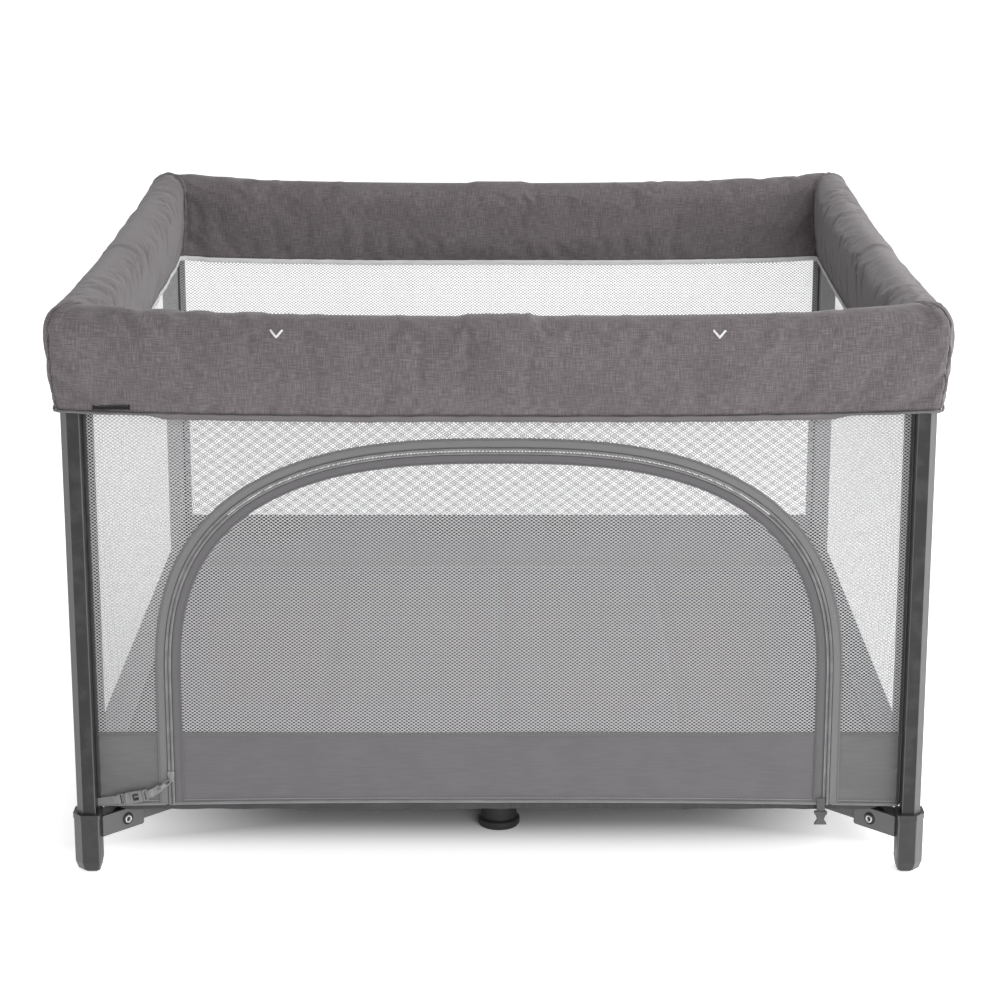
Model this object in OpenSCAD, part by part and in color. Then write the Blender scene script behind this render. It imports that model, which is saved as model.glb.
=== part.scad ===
// Square folding playpen: four corner posts, padded top rails that break downwards in the
// middle, a floor frame whose hub rises as the posts draw together, mesh walls with a
// zipped arch door, and a mat in four panels. Millimetres, +Z up, doorway towards -Y.
// The origin is on the ground under the middle of the pen.

/* [Overall] */
// Distance between the axes of two neighbouring posts
post_spacing = 1060; // [1000:10:1120]
// Height of the top of the rail padding
overall_h = 745; // [720:5:780]

/* [Posts and feet] */
// Width of a corner post across its flats
post_w = 25; // [23:0.5:26]
// Wall thickness of the post tube
post_wall = 1.5; // [1:0.1:2]
// Size of the bevel on a post's outward corner
post_bevel = 9; // [6:0.5:10]
// Width of a foot moulding
foot_w = 34; // [32:0.5:36]
// Height of a foot moulding
foot_h = 80; // [76:1:82]

/* [Top rails] */
// Outer diameter of the rail tube
rail_d = 22; // [20:0.5:22]
// Wall thickness of the rail tube
rail_wall = 1.4; // [1:0.1:2]
// Distance from a post's axis to its rail hinge pins
corner_pivot = 69; // [66:1:74]
// Distance from the middle of a side to the latch pins
latch_pivot = 25; // [24:1:28]
// Upward travel of a fold release button
release_travel = 4; // [3:0.5:4]

/* [Rail padding] */
// Thickness of the padding at its round top
pad_top_w = 54; // [50:1:58]
// Thickness of the padding at its lower seam
pad_low_w = 40; // [40:1:46]
// Height of the lower seam of the padding
pad_low_z = 599; // [590:1:610]

/* [Floor frame] */
// Height of the floor hinge pins
arm_z = 58; // [56:0.5:58]
// Width and depth of a floor arm
arm_w = 18; // [16:0.5:18]
// Diagonal distance from a post's axis to its floor pin
foot_pivot = 54; // [50:1:58]
// Radius of the centre hub
hub_r = 98; // [96:1:102]
// Distance from the middle of the pen to a centre foot
centre_foot_y = 374; // [340:2:390]

/* [Walls and door] */
// Thickness of the wall fabric
cloth_t = 2; // [1.5:0.5:2]
// Height of the bottom hem
hem_z = 82; // [82:1:84]
// Half width of the arch at the zip's teeth
door_half_w = 422; // [380:2:440]
// Height where the sides of the arch start to curve
door_leg_z = 240; // [200:5:280]
// Height of the crown of the arch
door_top_z = 555; // [520:1:570]
// Squareness of the arch, where 2 is an ellipse
door_power = 2.7; // [2:0.1:3]

/* [Mat] */
// Side of the square mat
mat_w = 1016; // [1000:2:1018]
// Thickness of the mat
mat_t = 20.5; // [16:0.5:22]

/* [Hidden] */
$fn = 48;

// Corners and sides are numbered anticlockwise from the front left and from the front
front = 0;
right = 1;
back = 2;
left = 3;

post_grey = "#4a4b4d";
moulding_grey = "#3f4042";
padding_grey = "#6f6a6b";
mesh_grey = "#b9b9ba";
skirt_grey = "#6d6c6e";
webbing_grey = "#77787a";
black_plastic = "#1d1d1f";
steel = "#c4c6c8";

half = post_spacing / 2;
gap = 0.3;

// The rails fold in step with the floor arms, so that the posts stay upright: the two
// chains span the same distance when arm length = sqrt(2) x rail length
rail_z = overall_h - 40;
rail_len = half - corner_pivot - latch_pivot;
arm_len = sqrt(2) * rail_len;
hub_pivot = sqrt(2) * (corner_pivot + latch_pivot) - foot_pivot;

pin_r = 3;
pin_hole_r = 3.05;
rail_hole_r = 3.1;
rivet_head_r = 5;
rivet_head_t = 1;

// Hinge ears on the corner brackets, the latches and the feet
ear_gap = rail_d + 0.6;
ear_t = 4;
ear_outer = ear_gap / 2 + ear_t;
bracket_w = 33;
bracket_low_z = rail_z - 50;
bracket_top_z = rail_z + 20;
post_low_z = 20;
post_top_z = rail_z - 5;

// The hollow inside the padding
sleeve_w = 34;
sleeve_low_z = rail_z - 33;
sleeve_top_z = rail_z + 23;

wall_inner = post_w / 2 + 0.8;
wall_top_z = pad_low_z - 0.5;

hub_low_z = arm_z - 14;
hub_top_z = arm_z + 14;
support_pivot = 75;
support_len = centre_foot_y - support_pivot;

floor_low_z = hub_top_z + 3;
floor_t = 2;
mat_low_z = floor_low_z + floor_t + 0.5;
panel_w = mat_w / 4;

strap_rise = 9.6;
strap_w = 10;
strap_t = 1.2;
strap_z = 88;
strap_y = -half + wall_inner - 3.8;

module on_corner(i) {
    rotate([0, 0, 90 * i]) translate([-half, -half, 0]) children();
}

module on_side(i) {
    rotate([0, 0, 90 * i]) translate([0, -half, 0]) children();
}

// Square with a large bevel on its outward corner and softened edges
module bevelled_square(w, bevel, soft = 2) {
    h = w / 2 - soft;
    b = bevel - soft * (2 - sqrt(2));
    offset(r = soft, $fn = 24) polygon([[-h + b, -h], [h, -h], [h, h], [-h, h], [-h, -h + b]]);
}

// A pin along Y with a head at each end, for a pair of ears whose outer faces are 2 * reach apart
module rivet(reach) {
    rotate([90, 0, 0]) cylinder(r = pin_r, h = 2 * reach, center = true);
    for (s = [-1, 1])
        translate([0, s * (reach + rivet_head_t / 2), 0])
            rotate([90, 0, 0]) cylinder(r = rivet_head_r, h = rivet_head_t, center = true);
}

// A flat ear in the XZ plane that starts at x = from and ends in a round about x = to
module ear(from, to, h, t) {
    translate([from, -t / 2, -h / 2]) cube([to - from, t, h]);
    translate([to, 0, 0]) rotate([90, 0, 0]) cylinder(r = h / 2, h = t, center = true);
}

// A flat plate in the XZ plane whose far end has one large and one small rounded corner
module fork_plate(from, to, h, t, top_r, low_r) {
    translate([from, -t / 2, -h / 2]) cube([to - top_r - from, t, h]);
    translate([from, -t / 2, -h / 2 + low_r]) cube([to - from, t, h - low_r - top_r]);
    translate([to - top_r, 0, h / 2 - top_r]) rotate([90, 0, 0]) cylinder(r = top_r, h = t, center = true);
    translate([to - top_r, -t / 2, -h / 2]) cube([top_r - low_r, t, h / 2]);
    translate([to - low_r, 0, -h / 2 + low_r]) rotate([90, 0, 0]) cylinder(r = low_r, h = t, center = true);
}

module post(i) {
    color(post_grey) on_corner(i) translate([0, 0, post_low_z])
        linear_extrude(post_top_z - post_low_z) difference() {
            bevelled_square(post_w, post_bevel);
            bevelled_square(post_w - 2 * post_wall, post_bevel - 0.6 * post_wall, 1);
        }
}

module foot(i) {
    toe_h = 14;
    toe_in = 1.5;
    lip_h = 7;
    lip_w = foot_w + 1.6;
    plate_h = 28;
    plate_end = foot_pivot + 26;
    plate_from = 14;
    fork = arm_w + 0.6;
    color(moulding_grey) on_corner(i) {
        difference() {
            union() {
                hull() {
                    translate([toe_in, toe_in, 0]) linear_extrude(0.1) bevelled_square(foot_w - 13, 8, 4);
                    translate([toe_in / 2, toe_in / 2, toe_h / 4])
                        linear_extrude(0.1) bevelled_square(foot_w - 5, 10, 3);
                    translate([0, 0, toe_h]) linear_extrude(0.1) bevelled_square(foot_w, 11, 3);
                }
                translate([0, 0, toe_h]) linear_extrude(foot_h - toe_h) bevelled_square(foot_w, 11, 3);
                translate([0, 0, foot_h - lip_h]) linear_extrude(lip_h) bevelled_square(lip_w, 11.5, 3);
                rotate([0, 0, 45]) for (s = [-1, 1])
                    translate([0, s * (fork + ear_t) / 2, arm_z])
                        fork_plate(plate_from, plate_end, plate_h, ear_t, 8, 3);
            }
            translate([0, 0, post_low_z - 1]) linear_extrude(foot_h)
                bevelled_square(post_w + 0.6, post_bevel, 2);
            rotate([0, 0, 45]) translate([foot_pivot, 0, arm_z]) rotate([90, 0, 0])
                cylinder(r = pin_hole_r, h = 2 * foot_w, center = true);
        }
        rotate([0, 0, 45]) translate([foot_pivot, 0, arm_z]) rivet(fork / 2 + ear_t);
    }
}

// Moulding on top of a post, with a pair of ears for the rail along each side
module corner_bracket(i) {
    color(moulding_grey) on_corner(i) {
        difference() {
            union() {
                translate([-bracket_w / 2, -bracket_w / 2, bracket_low_z])
                    cube([bracket_w, bracket_w, bracket_top_z - bracket_low_z]);
                for (turn = [0, 90]) rotate([0, 0, turn]) for (s = [-1, 1])
                    translate([0, s * (ear_gap + ear_t) / 2, rail_z])
                        ear(bracket_w / 2 - 1, corner_pivot, 30, ear_t);
            }
            translate([0, 0, bracket_low_z - 1]) linear_extrude(post_top_z - bracket_low_z + 1)
                bevelled_square(post_w + 0.6, post_bevel, 2);
            for (turn = [0, 90]) rotate([0, 0, turn]) translate([corner_pivot, 0, rail_z])
                rotate([90, 0, 0]) cylinder(r = pin_hole_r, h = 2 * bracket_w, center = true);
        }
        for (turn = [0, 90]) rotate([0, 0, turn]) translate([corner_pivot, 0, rail_z]) rivet(ear_outer);
    }
}

module pad_section() {
    crown_z = overall_h - pad_top_w / 2;
    translate([0, crown_z]) circle(d = pad_top_w);
    polygon([
        [-pad_top_w / 2, crown_z], [-pad_low_w / 2, pad_low_z],
        [pad_low_w / 2, pad_low_z], [pad_top_w / 2, crown_z]
    ]);
}

// The padding's section drawn along X, between two places
module pad_run(from, to) {
    translate([from, 0, 0]) rotate([90, 0, 90]) linear_extrude(to - from) pad_section();
}

module sleeve_run(from, to) {
    translate([from, -sleeve_w / 2, sleeve_low_z]) cube([to - from, sleeve_w, sleeve_top_z - sleeve_low_z]);
}

module corner_pad(i) {
    post_hole = post_w + 1;
    color(padding_grey) on_corner(i) difference() {
        union() {
            pad_run(-pad_top_w / 2, corner_pivot - gap);
            mirror([1, -1, 0]) pad_run(-pad_top_w / 2, corner_pivot - gap);
        }
        sleeve_run(-sleeve_w / 2, corner_pivot + 1);
        mirror([1, -1, 0]) sleeve_run(-sleeve_w / 2, corner_pivot + 1);
        translate([-sleeve_w / 2, -sleeve_w / 2, bracket_low_z - 1])
            cube([sleeve_w, sleeve_w, sleeve_low_z - bracket_low_z + 2]);
        translate([-post_hole / 2, -post_hole / 2, 0]) cube([post_hole, post_hole, bracket_low_z]);
    }
}

// A rail half runs from its corner to the latch; flip = 1 gives the other half of the side
module rail_half(side, flip = 0) {
    over_corner = 12;
    over_latch = 10;
    from = -half + corner_pivot - over_corner;
    to = -latch_pivot + over_latch;
    color(post_grey) on_side(side) mirror([flip, 0, 0]) difference() {
        translate([from, 0, rail_z]) rotate([0, 90, 0]) difference() {
            cylinder(d = rail_d, h = to - from);
            translate([0, 0, -1]) cylinder(d = rail_d - 2 * rail_wall, h = to - from + 2);
        }
        for (x = [-half + corner_pivot, -latch_pivot]) translate([x, 0, rail_z])
            rotate([90, 0, 0]) cylinder(r = rail_hole_r, h = 2 * rail_d, center = true);
    }
}

module rail_pad(side, flip = 0) {
    color(padding_grey) on_side(side) mirror([flip, 0, 0]) difference() {
        pad_run(-half + corner_pivot + gap, -gap);
        sleeve_run(-half, 1);
    }
}

// Channel in the middle of a side, open at the top, that joins the two rail halves
module latch(side) {
    channel_l = 76;
    floor_z = rail_z - 18;
    channel_low_z = floor_z - 4;
    color(black_plastic) on_side(side) {
        difference() {
            translate([-channel_l / 2, -ear_outer, channel_low_z])
                cube([channel_l, 2 * ear_outer, rail_z + 16 - channel_low_z]);
            translate([-channel_l, -ear_gap / 2, floor_z]) cube([2 * channel_l, ear_gap, rail_d * 3]);
            translate([-10.3, -6.3, channel_low_z - 1]) cube([20.6, 12.6, 8]);
            for (s = [-1, 1]) translate([s * latch_pivot, 0, rail_z])
                rotate([90, 0, 0]) cylinder(r = pin_hole_r, h = 2 * bracket_w, center = true);
        }
        for (s = [-1, 1]) translate([s * latch_pivot, 0, rail_z]) rivet(ear_outer);
    }
}

// The button's flange keeps clear of the rails by its travel
module release_button(side) {
    flange_t = 1.5;
    flange_z = rail_z - rail_d / 2 - release_travel - flange_t - 1.3;
    button_low_z = rail_z - 26;
    color(black_plastic) on_side(side) {
        translate([-10, -6, button_low_z]) cube([20, 12, flange_z + 0.8 - button_low_z]);
        translate([-12, -8, flange_z]) cube([24, 16, flange_t]);
    }
}

module floor_arm(i) {
    wall = 1.5;
    color(post_grey) on_corner(i) rotate([0, 0, 45]) translate([foot_pivot, 0, arm_z]) difference() {
        union() {
            translate([0, -arm_w / 2, -arm_w / 2]) cube([arm_len, arm_w, arm_w]);
            for (x = [0, arm_len]) translate([x, 0, 0])
                rotate([90, 0, 0]) cylinder(d = arm_w, h = arm_w, center = true);
        }
        translate([20, -arm_w / 2 + wall, -arm_w / 2 + wall])
            cube([arm_len - 40, arm_w - 2 * wall, arm_w - 2 * wall]);
        translate([arm_len / 2, 0, -arm_w]) cylinder(r = 2.5, h = arm_w);
        for (x = [0, arm_len]) translate([x, 0, 0])
            rotate([90, 0, 0]) cylinder(r = rail_hole_r, h = 2 * arm_w, center = true);
    }
}

module hub() {
    slot_w = arm_w + 0.6;
    slot_h = arm_w / 2 + 0.6;
    pin_reach = 15;
    color(black_plastic) difference() {
        translate([0, 0, hub_low_z]) cylinder(r = hub_r, h = hub_top_z - hub_low_z, $fn = 96);
        translate([0, 0, hub_low_z - 1]) cylinder(r = 18, h = 40);
        for (turn = [45:90:315]) rotate([0, 0, turn]) {
            translate([hub_pivot - slot_h, -slot_w / 2, 0]) cube([hub_r, slot_w, arm_z + slot_h]);
            translate([hub_pivot, 0, arm_z]) rotate([90, 0, 0])
                cylinder(r = pin_hole_r, h = 2 * pin_reach, center = true);
        }
        for (turn = [90, 270]) rotate([0, 0, turn]) {
            translate([support_pivot - slot_h, -slot_w / 2, 0]) cube([hub_r, slot_w, arm_z + slot_h]);
            translate([support_pivot, 0, arm_z]) rotate([90, 0, 0])
                cylinder(r = pin_hole_r, h = 2 * pin_reach, center = true);
        }
    }
    color(steel) {
        for (turn = [45:90:315]) rotate([0, 0, turn]) translate([hub_pivot, 0, arm_z])
            rotate([90, 0, 0]) cylinder(r = pin_r, h = 2 * pin_reach - 0.4, center = true);
        for (turn = [90, 270]) rotate([0, 0, turn]) translate([support_pivot, 0, arm_z])
            rotate([90, 0, 0]) cylinder(r = pin_r, h = 2 * pin_reach - 0.4, center = true);
    }
}

// Hinged strut from the hub with a round foot near the middle of a side
module support(turn) {
    strut_h = 16;
    color(black_plastic) rotate([0, 0, turn]) translate([0, -support_pivot, arm_z]) difference() {
        union() {
            translate([-arm_w / 2, -support_len, -strut_h / 2]) cube([arm_w, support_len, strut_h]);
            rotate([0, 90, 0]) cylinder(d = strut_h, h = arm_w, center = true);
            translate([0, -support_len, -arm_z]) rotate_extrude($fn = 64)
                polygon([[0, 0], [26, 0], [28, 3], [28, 10], [24, 13], [24, arm_z + 8], [0, arm_z + 8]]);
        }
        rotate([0, 90, 0]) cylinder(r = rail_hole_r, h = 2 * arm_w, center = true);
    }
}

// Upper quarter turns of the arch: a superellipse, with straight legs down to the hem
function arch_point(a, grow) = [
    (door_half_w + grow) * sign(cos(a)) * pow(abs(cos(a)), 2 / door_power),
    door_leg_z + (door_top_z + grow - door_leg_z) * pow(abs(sin(a)), 2 / door_power)
];

module arch_outline(low_z, grow = 0) {
    polygon([
        [door_half_w + grow, low_z],
        for (a = [0:3:180]) arch_point(a, grow),
        [-door_half_w - grow, low_z]
    ]);
}

// A flat sheet just inside the posts of one side; trim shortens both ends
module wall_sheet(side, trim) {
    reach = half - wall_inner - trim;
    on_side(side) translate([-reach, wall_inner, hem_z]) cube([2 * reach, cloth_t, wall_top_z - hem_z]);
}

module wall_front() {
    color(mesh_grey) difference() {
        wall_sheet(front, 0);
        on_side(front) translate([0, wall_inner + cloth_t + 1, 0]) rotate([90, 0, 0])
            linear_extrude(cloth_t + 2) arch_outline(hem_z - 10, gap);
    }
}

module wall_plain(side, trim) {
    color(mesh_grey) wall_sheet(side, trim);
}

module door() {
    color(mesh_grey) on_side(front) translate([0, wall_inner + cloth_t, 0]) rotate([90, 0, 0])
        linear_extrude(cloth_t) arch_outline(hem_z);
}

module floor_sheet() {
    reach = half - 19;
    color(skirt_grey) translate([-reach, -reach, floor_low_z]) cube([2 * reach, 2 * reach, floor_t]);
}

// One of four front-to-back panels, counted from the left
module mat_panel(n) {
    corner_r = 20;
    inset = mat_w / 2 - corner_r;
    color(skirt_grey) intersection() {
        translate([-mat_w / 2 + n * panel_w + gap, -mat_w / 2, mat_low_z])
            cube([panel_w - 2 * gap, mat_w, mat_t]);
        translate([0, 0, mat_low_z]) union() {
            translate([-inset, -mat_w / 2, 0]) cube([2 * inset, mat_w, mat_t]);
            translate([-mat_w / 2, -inset, 0]) cube([mat_w, 2 * inset, mat_t]);
            for (x = [-inset, inset]) for (y = [-inset, inset])
                translate([x, y, 0]) cylinder(r = corner_r, h = mat_t);
        }
    }
}

module zip_slider() {
    body_low_z = 116;
    body_y = -half + wall_inner - 0.5;
    color(webbing_grey) translate([-door_half_w, body_y, 0]) {
        translate([-4.5, -3.8, body_low_z]) cube([9, 3.8, 10]);
        translate([0, 0, body_low_z + 10]) rotate([90, 0, 0]) cylinder(r = 4.5, h = 3.8);
        translate([-4, -6.3, body_low_z - 15]) cube([8, 1.2, 16]);
        translate([-2, -6.3, body_low_z - 1]) cube([4, 3, 4]);
    }
}

// Places things along the tether, from the post towards the zip
module on_strap() {
    translate([-half + post_w / 2 + gap, strap_y, strap_z]) rotate([0, -strap_rise, 0]) children();
}

module strap_buckle() {
    color(webbing_grey) on_strap() {
        translate([0, -strap_t / 2, -strap_w / 2]) cube([38, strap_t, strap_w]);
        for (x = [30, 34]) translate([x, -1.6 - strap_t / 2, -7]) cube([2.4, 1.5, 14]);
        difference() {
            translate([38, -3, -8.5]) cube([22, 6, 17]);
            translate([46, -1.6, -6.6]) cube([15, 3.2, 13.2]);
        }
    }
}

module buckle_tongue() {
    color(webbing_grey) on_strap() {
        translate([47, -1.3, -6.2]) cube([14, 2.6, 12.4]);
        translate([60.5, -3, -8.5]) cube([5, 6, 17]);
        translate([65, -strap_t / 2, -strap_w / 2]) cube([15, strap_t, strap_w]);
    }
}

post(0);  // post_front_left
post(1);  // post_front_right
post(2);  // post_back_right
post(3);  // post_back_left
foot(0);  // foot_front_left
foot(1);  // foot_front_right
foot(2);  // foot_back_right
foot(3);  // foot_back_left
corner_bracket(0);  // bracket_front_left
corner_bracket(1);  // bracket_front_right
corner_bracket(2);  // bracket_back_right
corner_bracket(3);  // bracket_back_left
corner_pad(0);  // corner_pad_front_left
corner_pad(1);  // corner_pad_front_right
corner_pad(2);  // corner_pad_back_right
corner_pad(3);  // corner_pad_back_left
floor_arm(0);  // floor_arm_front_left
floor_arm(1);  // floor_arm_front_right
floor_arm(2);  // floor_arm_back_right
floor_arm(3);  // floor_arm_back_left
hub();
support(0);  // support_front
support(180);  // support_back
rail_half(front);  // rail_front_left
rail_half(front, 1);  // rail_front_right
rail_half(right);  // rail_right_front
rail_half(right, 1);  // rail_right_back
rail_half(back);  // rail_back_right
rail_half(back, 1);  // rail_back_left
rail_half(left);  // rail_left_back
rail_half(left, 1);  // rail_left_front
rail_pad(front);  // pad_front_left
rail_pad(front, 1);  // pad_front_right
rail_pad(right);  // pad_right_front
rail_pad(right, 1);  // pad_right_back
rail_pad(back);  // pad_back_right
rail_pad(back, 1);  // pad_back_left
rail_pad(left);  // pad_left_back
rail_pad(left, 1);  // pad_left_front
latch(front);  // latch_front
latch(right);  // latch_right
latch(back);  // latch_back
latch(left);  // latch_left
release_button(front);  // release_front
release_button(right);  // release_right
release_button(back);  // release_back
release_button(left);  // release_left
wall_front();
wall_plain(right, cloth_t + gap);  // wall_right
wall_plain(back, 0);  // wall_back
wall_plain(left, cloth_t + gap);  // wall_left
floor_sheet();
mat_panel(0);  // mat_outer_left
mat_panel(1);  // mat_inner_left
mat_panel(2);  // mat_inner_right
mat_panel(3);  // mat_outer_right
door();
zip_slider();
strap_buckle();
buckle_tongue();
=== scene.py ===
"""Looks of the folding playpen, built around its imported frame. Metres, +Z up, doorway towards -Y."""

import math

import bmesh
import bpy
import numpy as np
from mathutils import Matrix, Vector, noise


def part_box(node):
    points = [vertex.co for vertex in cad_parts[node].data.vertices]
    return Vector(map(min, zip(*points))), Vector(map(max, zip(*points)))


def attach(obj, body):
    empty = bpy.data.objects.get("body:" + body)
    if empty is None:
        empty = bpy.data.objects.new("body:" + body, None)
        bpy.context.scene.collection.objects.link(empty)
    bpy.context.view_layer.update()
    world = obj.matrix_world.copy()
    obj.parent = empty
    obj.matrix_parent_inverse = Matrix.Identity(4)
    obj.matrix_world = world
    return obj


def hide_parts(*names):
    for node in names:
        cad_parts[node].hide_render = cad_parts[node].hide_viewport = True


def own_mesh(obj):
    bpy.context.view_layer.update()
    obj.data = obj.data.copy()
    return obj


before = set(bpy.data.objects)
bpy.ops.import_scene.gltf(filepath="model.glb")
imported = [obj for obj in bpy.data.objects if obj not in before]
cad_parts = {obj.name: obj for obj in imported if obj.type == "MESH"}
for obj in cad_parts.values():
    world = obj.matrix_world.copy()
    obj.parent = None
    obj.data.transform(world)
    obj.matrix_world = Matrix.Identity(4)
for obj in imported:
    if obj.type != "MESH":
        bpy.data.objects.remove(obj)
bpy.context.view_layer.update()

MM = 0.001
UV = "cloth"
CORNERS = ("front_left", "front_right", "back_right", "back_left")
SIDES = ("front", "right", "back", "left")
POST_BODIES = ("root", "post_front_right", "post_back_right", "post_back_left")
# The two halves of each side's rail, from its own left end
HALVES = (
    ("front_left", "front_right"),
    ("right_front", "right_back"),
    ("back_right", "back_left"),
    ("left_back", "left_front"),
)

# ---------------------------------------------------------------- places taken from the frame

post_low, post_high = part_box("post_front_left")
pad_low, pad_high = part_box("pad_front_left")
wall_low, wall_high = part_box("wall_front")
door_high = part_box("door")[1]
rail_low, rail_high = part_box("rail_front_left")
mat_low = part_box("mat_outer_left")[0]
sheet_low, sheet_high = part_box("floor_sheet")
foot_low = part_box("foot_front_left")[0]
slider_low, slider_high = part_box("zip_slider")
strap_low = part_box("strap_buckle")[0]

HALF = -(post_low.x + post_high.x) / 2
PAD_R = (pad_high.y - pad_low.y) / 2
PAD_TOP = pad_high.z
PAD_LOW = pad_low.z
SPLIT = -pad_low.x
RAIL_Z = (rail_low.z + rail_high.z) / 2
WALL_Y = (wall_low.y + wall_high.y) / 2 + HALF
WALL_X = wall_high.x
HEM_Z = wall_low.z
SKIRT_Z = HEM_Z + 98 * MM
# The doorway's arch: straight legs under half a superellipse
ARCH_X = door_high.x
ARCH_TOP = door_high.z
ARCH_LEG = 240 * MM
ARCH_POWER = 2.7
# The rivet through each foot's fork: height, distance from the post's axis, and the fork's half width
ARM_Z = foot_low.z + 58 * MM
FOOT_PIVOT = 54 * MM
FORK_FACE = 13.3 * MM
# Post spacing of the folded frame over that of the open one
FOLDED_SHARE = 0.2634


def on_side(side):
    """Matrix of a side's own frame: X along it, Y inwards from the line of the post axes."""
    return Matrix.Rotation(math.radians(90 * side), 4, "Z") @ Matrix.Translation((0, -HALF, 0))


def on_corner(corner):
    """Matrix of a corner's own frame, at its post's axis, with the pen towards +X and +Y."""
    return Matrix.Rotation(math.radians(90 * corner), 4, "Z") @ Matrix.Translation((-HALF, -HALF, 0))


def moved(points, matrix):
    """Points turned and moved by a 4 x 4 matrix."""
    m = np.array(matrix)
    return np.asarray(points, float).reshape(-1, 3) @ m[:3, :3].T + m[:3, 3]


def smooth_step(t):
    t = np.clip(t, 0, 1)
    return t * t * (3 - 2 * t)


def wander(places, seed=0.0):
    """Smooth noise from -1 to 1 at each of many places."""
    flat = np.asarray(places, float).reshape(-1, 3) + seed
    values = [noise.noise(Vector(p)) for p in flat]
    return np.array(values).reshape(np.shape(places)[:-1])


# ---------------------------------------------------------------- mesh building


def grid_faces(rows, columns, wrap_rows=False, wrap_columns=False):
    """Quads of a grid whose point (r, c) has the number r * columns + c."""
    r = np.arange(rows if wrap_rows else rows - 1)
    c = np.arange(columns if wrap_columns else columns - 1)
    r, c = np.meshgrid(r, c, indexing="ij")
    r2, c2 = (r + 1) % rows, (c + 1) % columns
    quads = [r * columns + c, r2 * columns + c, r2 * columns + c2, r * columns + c2]
    return np.stack(quads, -1).reshape(-1, 4)


class Shape:
    """Patches of mesh that become one piece, each with its cloth coordinates and material."""

    def __init__(self):
        self.points, self.cloth, self.faces, self.slots, self.materials = [], [], [], [], []
        self.count = 0

    def add(self, points, faces, material, cloth=None):
        points = np.asarray(points, float).reshape(-1, 3)
        if cloth is None:
            cloth = points[:, [0, 2]] + points[:, [1, 1]]
        if material not in self.materials:
            self.materials.append(material)
        self.points.append(points)
        self.cloth.append(np.asarray(cloth, float).reshape(-1, 2))
        self.faces += [[int(i) + self.count for i in face] for face in faces]
        self.slots += [self.materials.index(material)] * len(faces)
        self.count += len(points)
        return self

    def grid(self, points, material, cloth=None, wrap_rows=False, wrap_columns=False):
        rows, columns = np.shape(points)[:2]
        return self.add(points, grid_faces(rows, columns, wrap_rows, wrap_columns), material, cloth)

    def build(self, name, matrix=None, crease=50, outward=False):
        """The finished object; crease is the angle in degrees above which an edge stays sharp."""
        points = np.concatenate(self.points)
        if matrix is not None:
            points = moved(points, matrix)
        mesh = bpy.data.meshes.new(name)
        mesh.from_pydata(points.tolist(), [], self.faces)
        for material in self.materials:
            mesh.materials.append(material)
        mesh.polygons.foreach_set("material_index", self.slots)
        corners = np.zeros(len(mesh.loops), np.int32)
        mesh.loops.foreach_get("vertex_index", corners)
        layer = mesh.uv_layers.new(name=UV)
        layer.data.foreach_set("uv", np.concatenate(self.cloth)[corners].astype(np.float32).ravel())
        if outward:
            work = bmesh.new()
            work.from_mesh(mesh)
            bmesh.ops.recalc_face_normals(work, faces=work.faces)
            work.to_mesh(mesh)
            work.free()
        mesh.polygons.foreach_set("use_smooth", [True] * len(mesh.polygons))
        mesh.set_sharp_from_angle(angle=math.radians(crease))
        mesh.update()
        obj = bpy.data.objects.new(name, mesh)
        bpy.context.scene.collection.objects.link(obj)
        return obj


def place(obj, body, slot, squash=None, stands_for=()):
    """Rides one piece on its body, gives it a mesh of its own when a squash is given, and hides the parts it
    stands for.
    """
    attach(obj, body)
    if squash is not None:
        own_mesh(obj)
    if stands_for:
        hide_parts(*stands_for)
    return obj


def resampled(line, spacing, closed=False):
    """Points along a line at an even spacing."""
    line = np.asarray(line, float)
    if closed:
        line = np.vstack([line, line[:1]])
    steps = np.linalg.norm(np.diff(line, axis=0), axis=1)
    along = np.concatenate([[0], np.cumsum(steps)])
    count = max(2, int(round(along[-1] / spacing)) + 1)
    places = np.linspace(0, along[-1], count)
    return np.stack([np.interp(places, along, line[:, k]) for k in range(3)], 1)


def unit(vectors):
    return vectors / np.maximum(np.linalg.norm(vectors, axis=-1, keepdims=True), 1e-12)


def tangents(line):
    return unit(np.gradient(np.asarray(line, float), axis=0))


def sweep(shape, line, outward, profile, material, stretch=None, caps=True):
    """A closed profile of (outward, sideways) points swept along a line; stretch scales sideways."""
    line = np.asarray(line, float)
    outward = np.broadcast_to(np.asarray(outward, float), line.shape)
    along = tangents(line)
    side = unit(np.cross(along, outward))
    out = unit(np.cross(side, along))
    profile = np.asarray(profile, float)
    scale = np.ones(len(line)) if stretch is None else np.asarray(stretch, float)
    points = (
        line[:, None]
        + out[:, None] * profile[None, :, :1]
        + side[:, None] * profile[None, :, 1:] * scale[:, None, None]
    )
    run = np.concatenate([[0], np.cumsum(np.linalg.norm(np.diff(line, axis=0), axis=1))])
    edge = np.linalg.norm(np.diff(profile, axis=0, append=profile[:1]), axis=1)
    across = np.concatenate([[0], np.cumsum(edge)[:-1]])
    cloth = np.stack(np.meshgrid(run, across, indexing="ij"), -1)
    start = shape.count
    shape.grid(points, material, cloth, wrap_columns=True)
    if caps:
        n = len(profile)
        last = len(shape.points[-1]) - n
        half = n // 2
        for first in (0, last):
            ring = [first + i for i in range(n)]
            quads = [[ring[i], ring[i + 1], ring[n - 2 - i], ring[n - 1 - i]] for i in range(half - 1)]
            shape.faces += [[i + start for i in quad] for quad in quads]
            shape.slots += [shape.materials.index(material)] * len(quads)
    return shape


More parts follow.
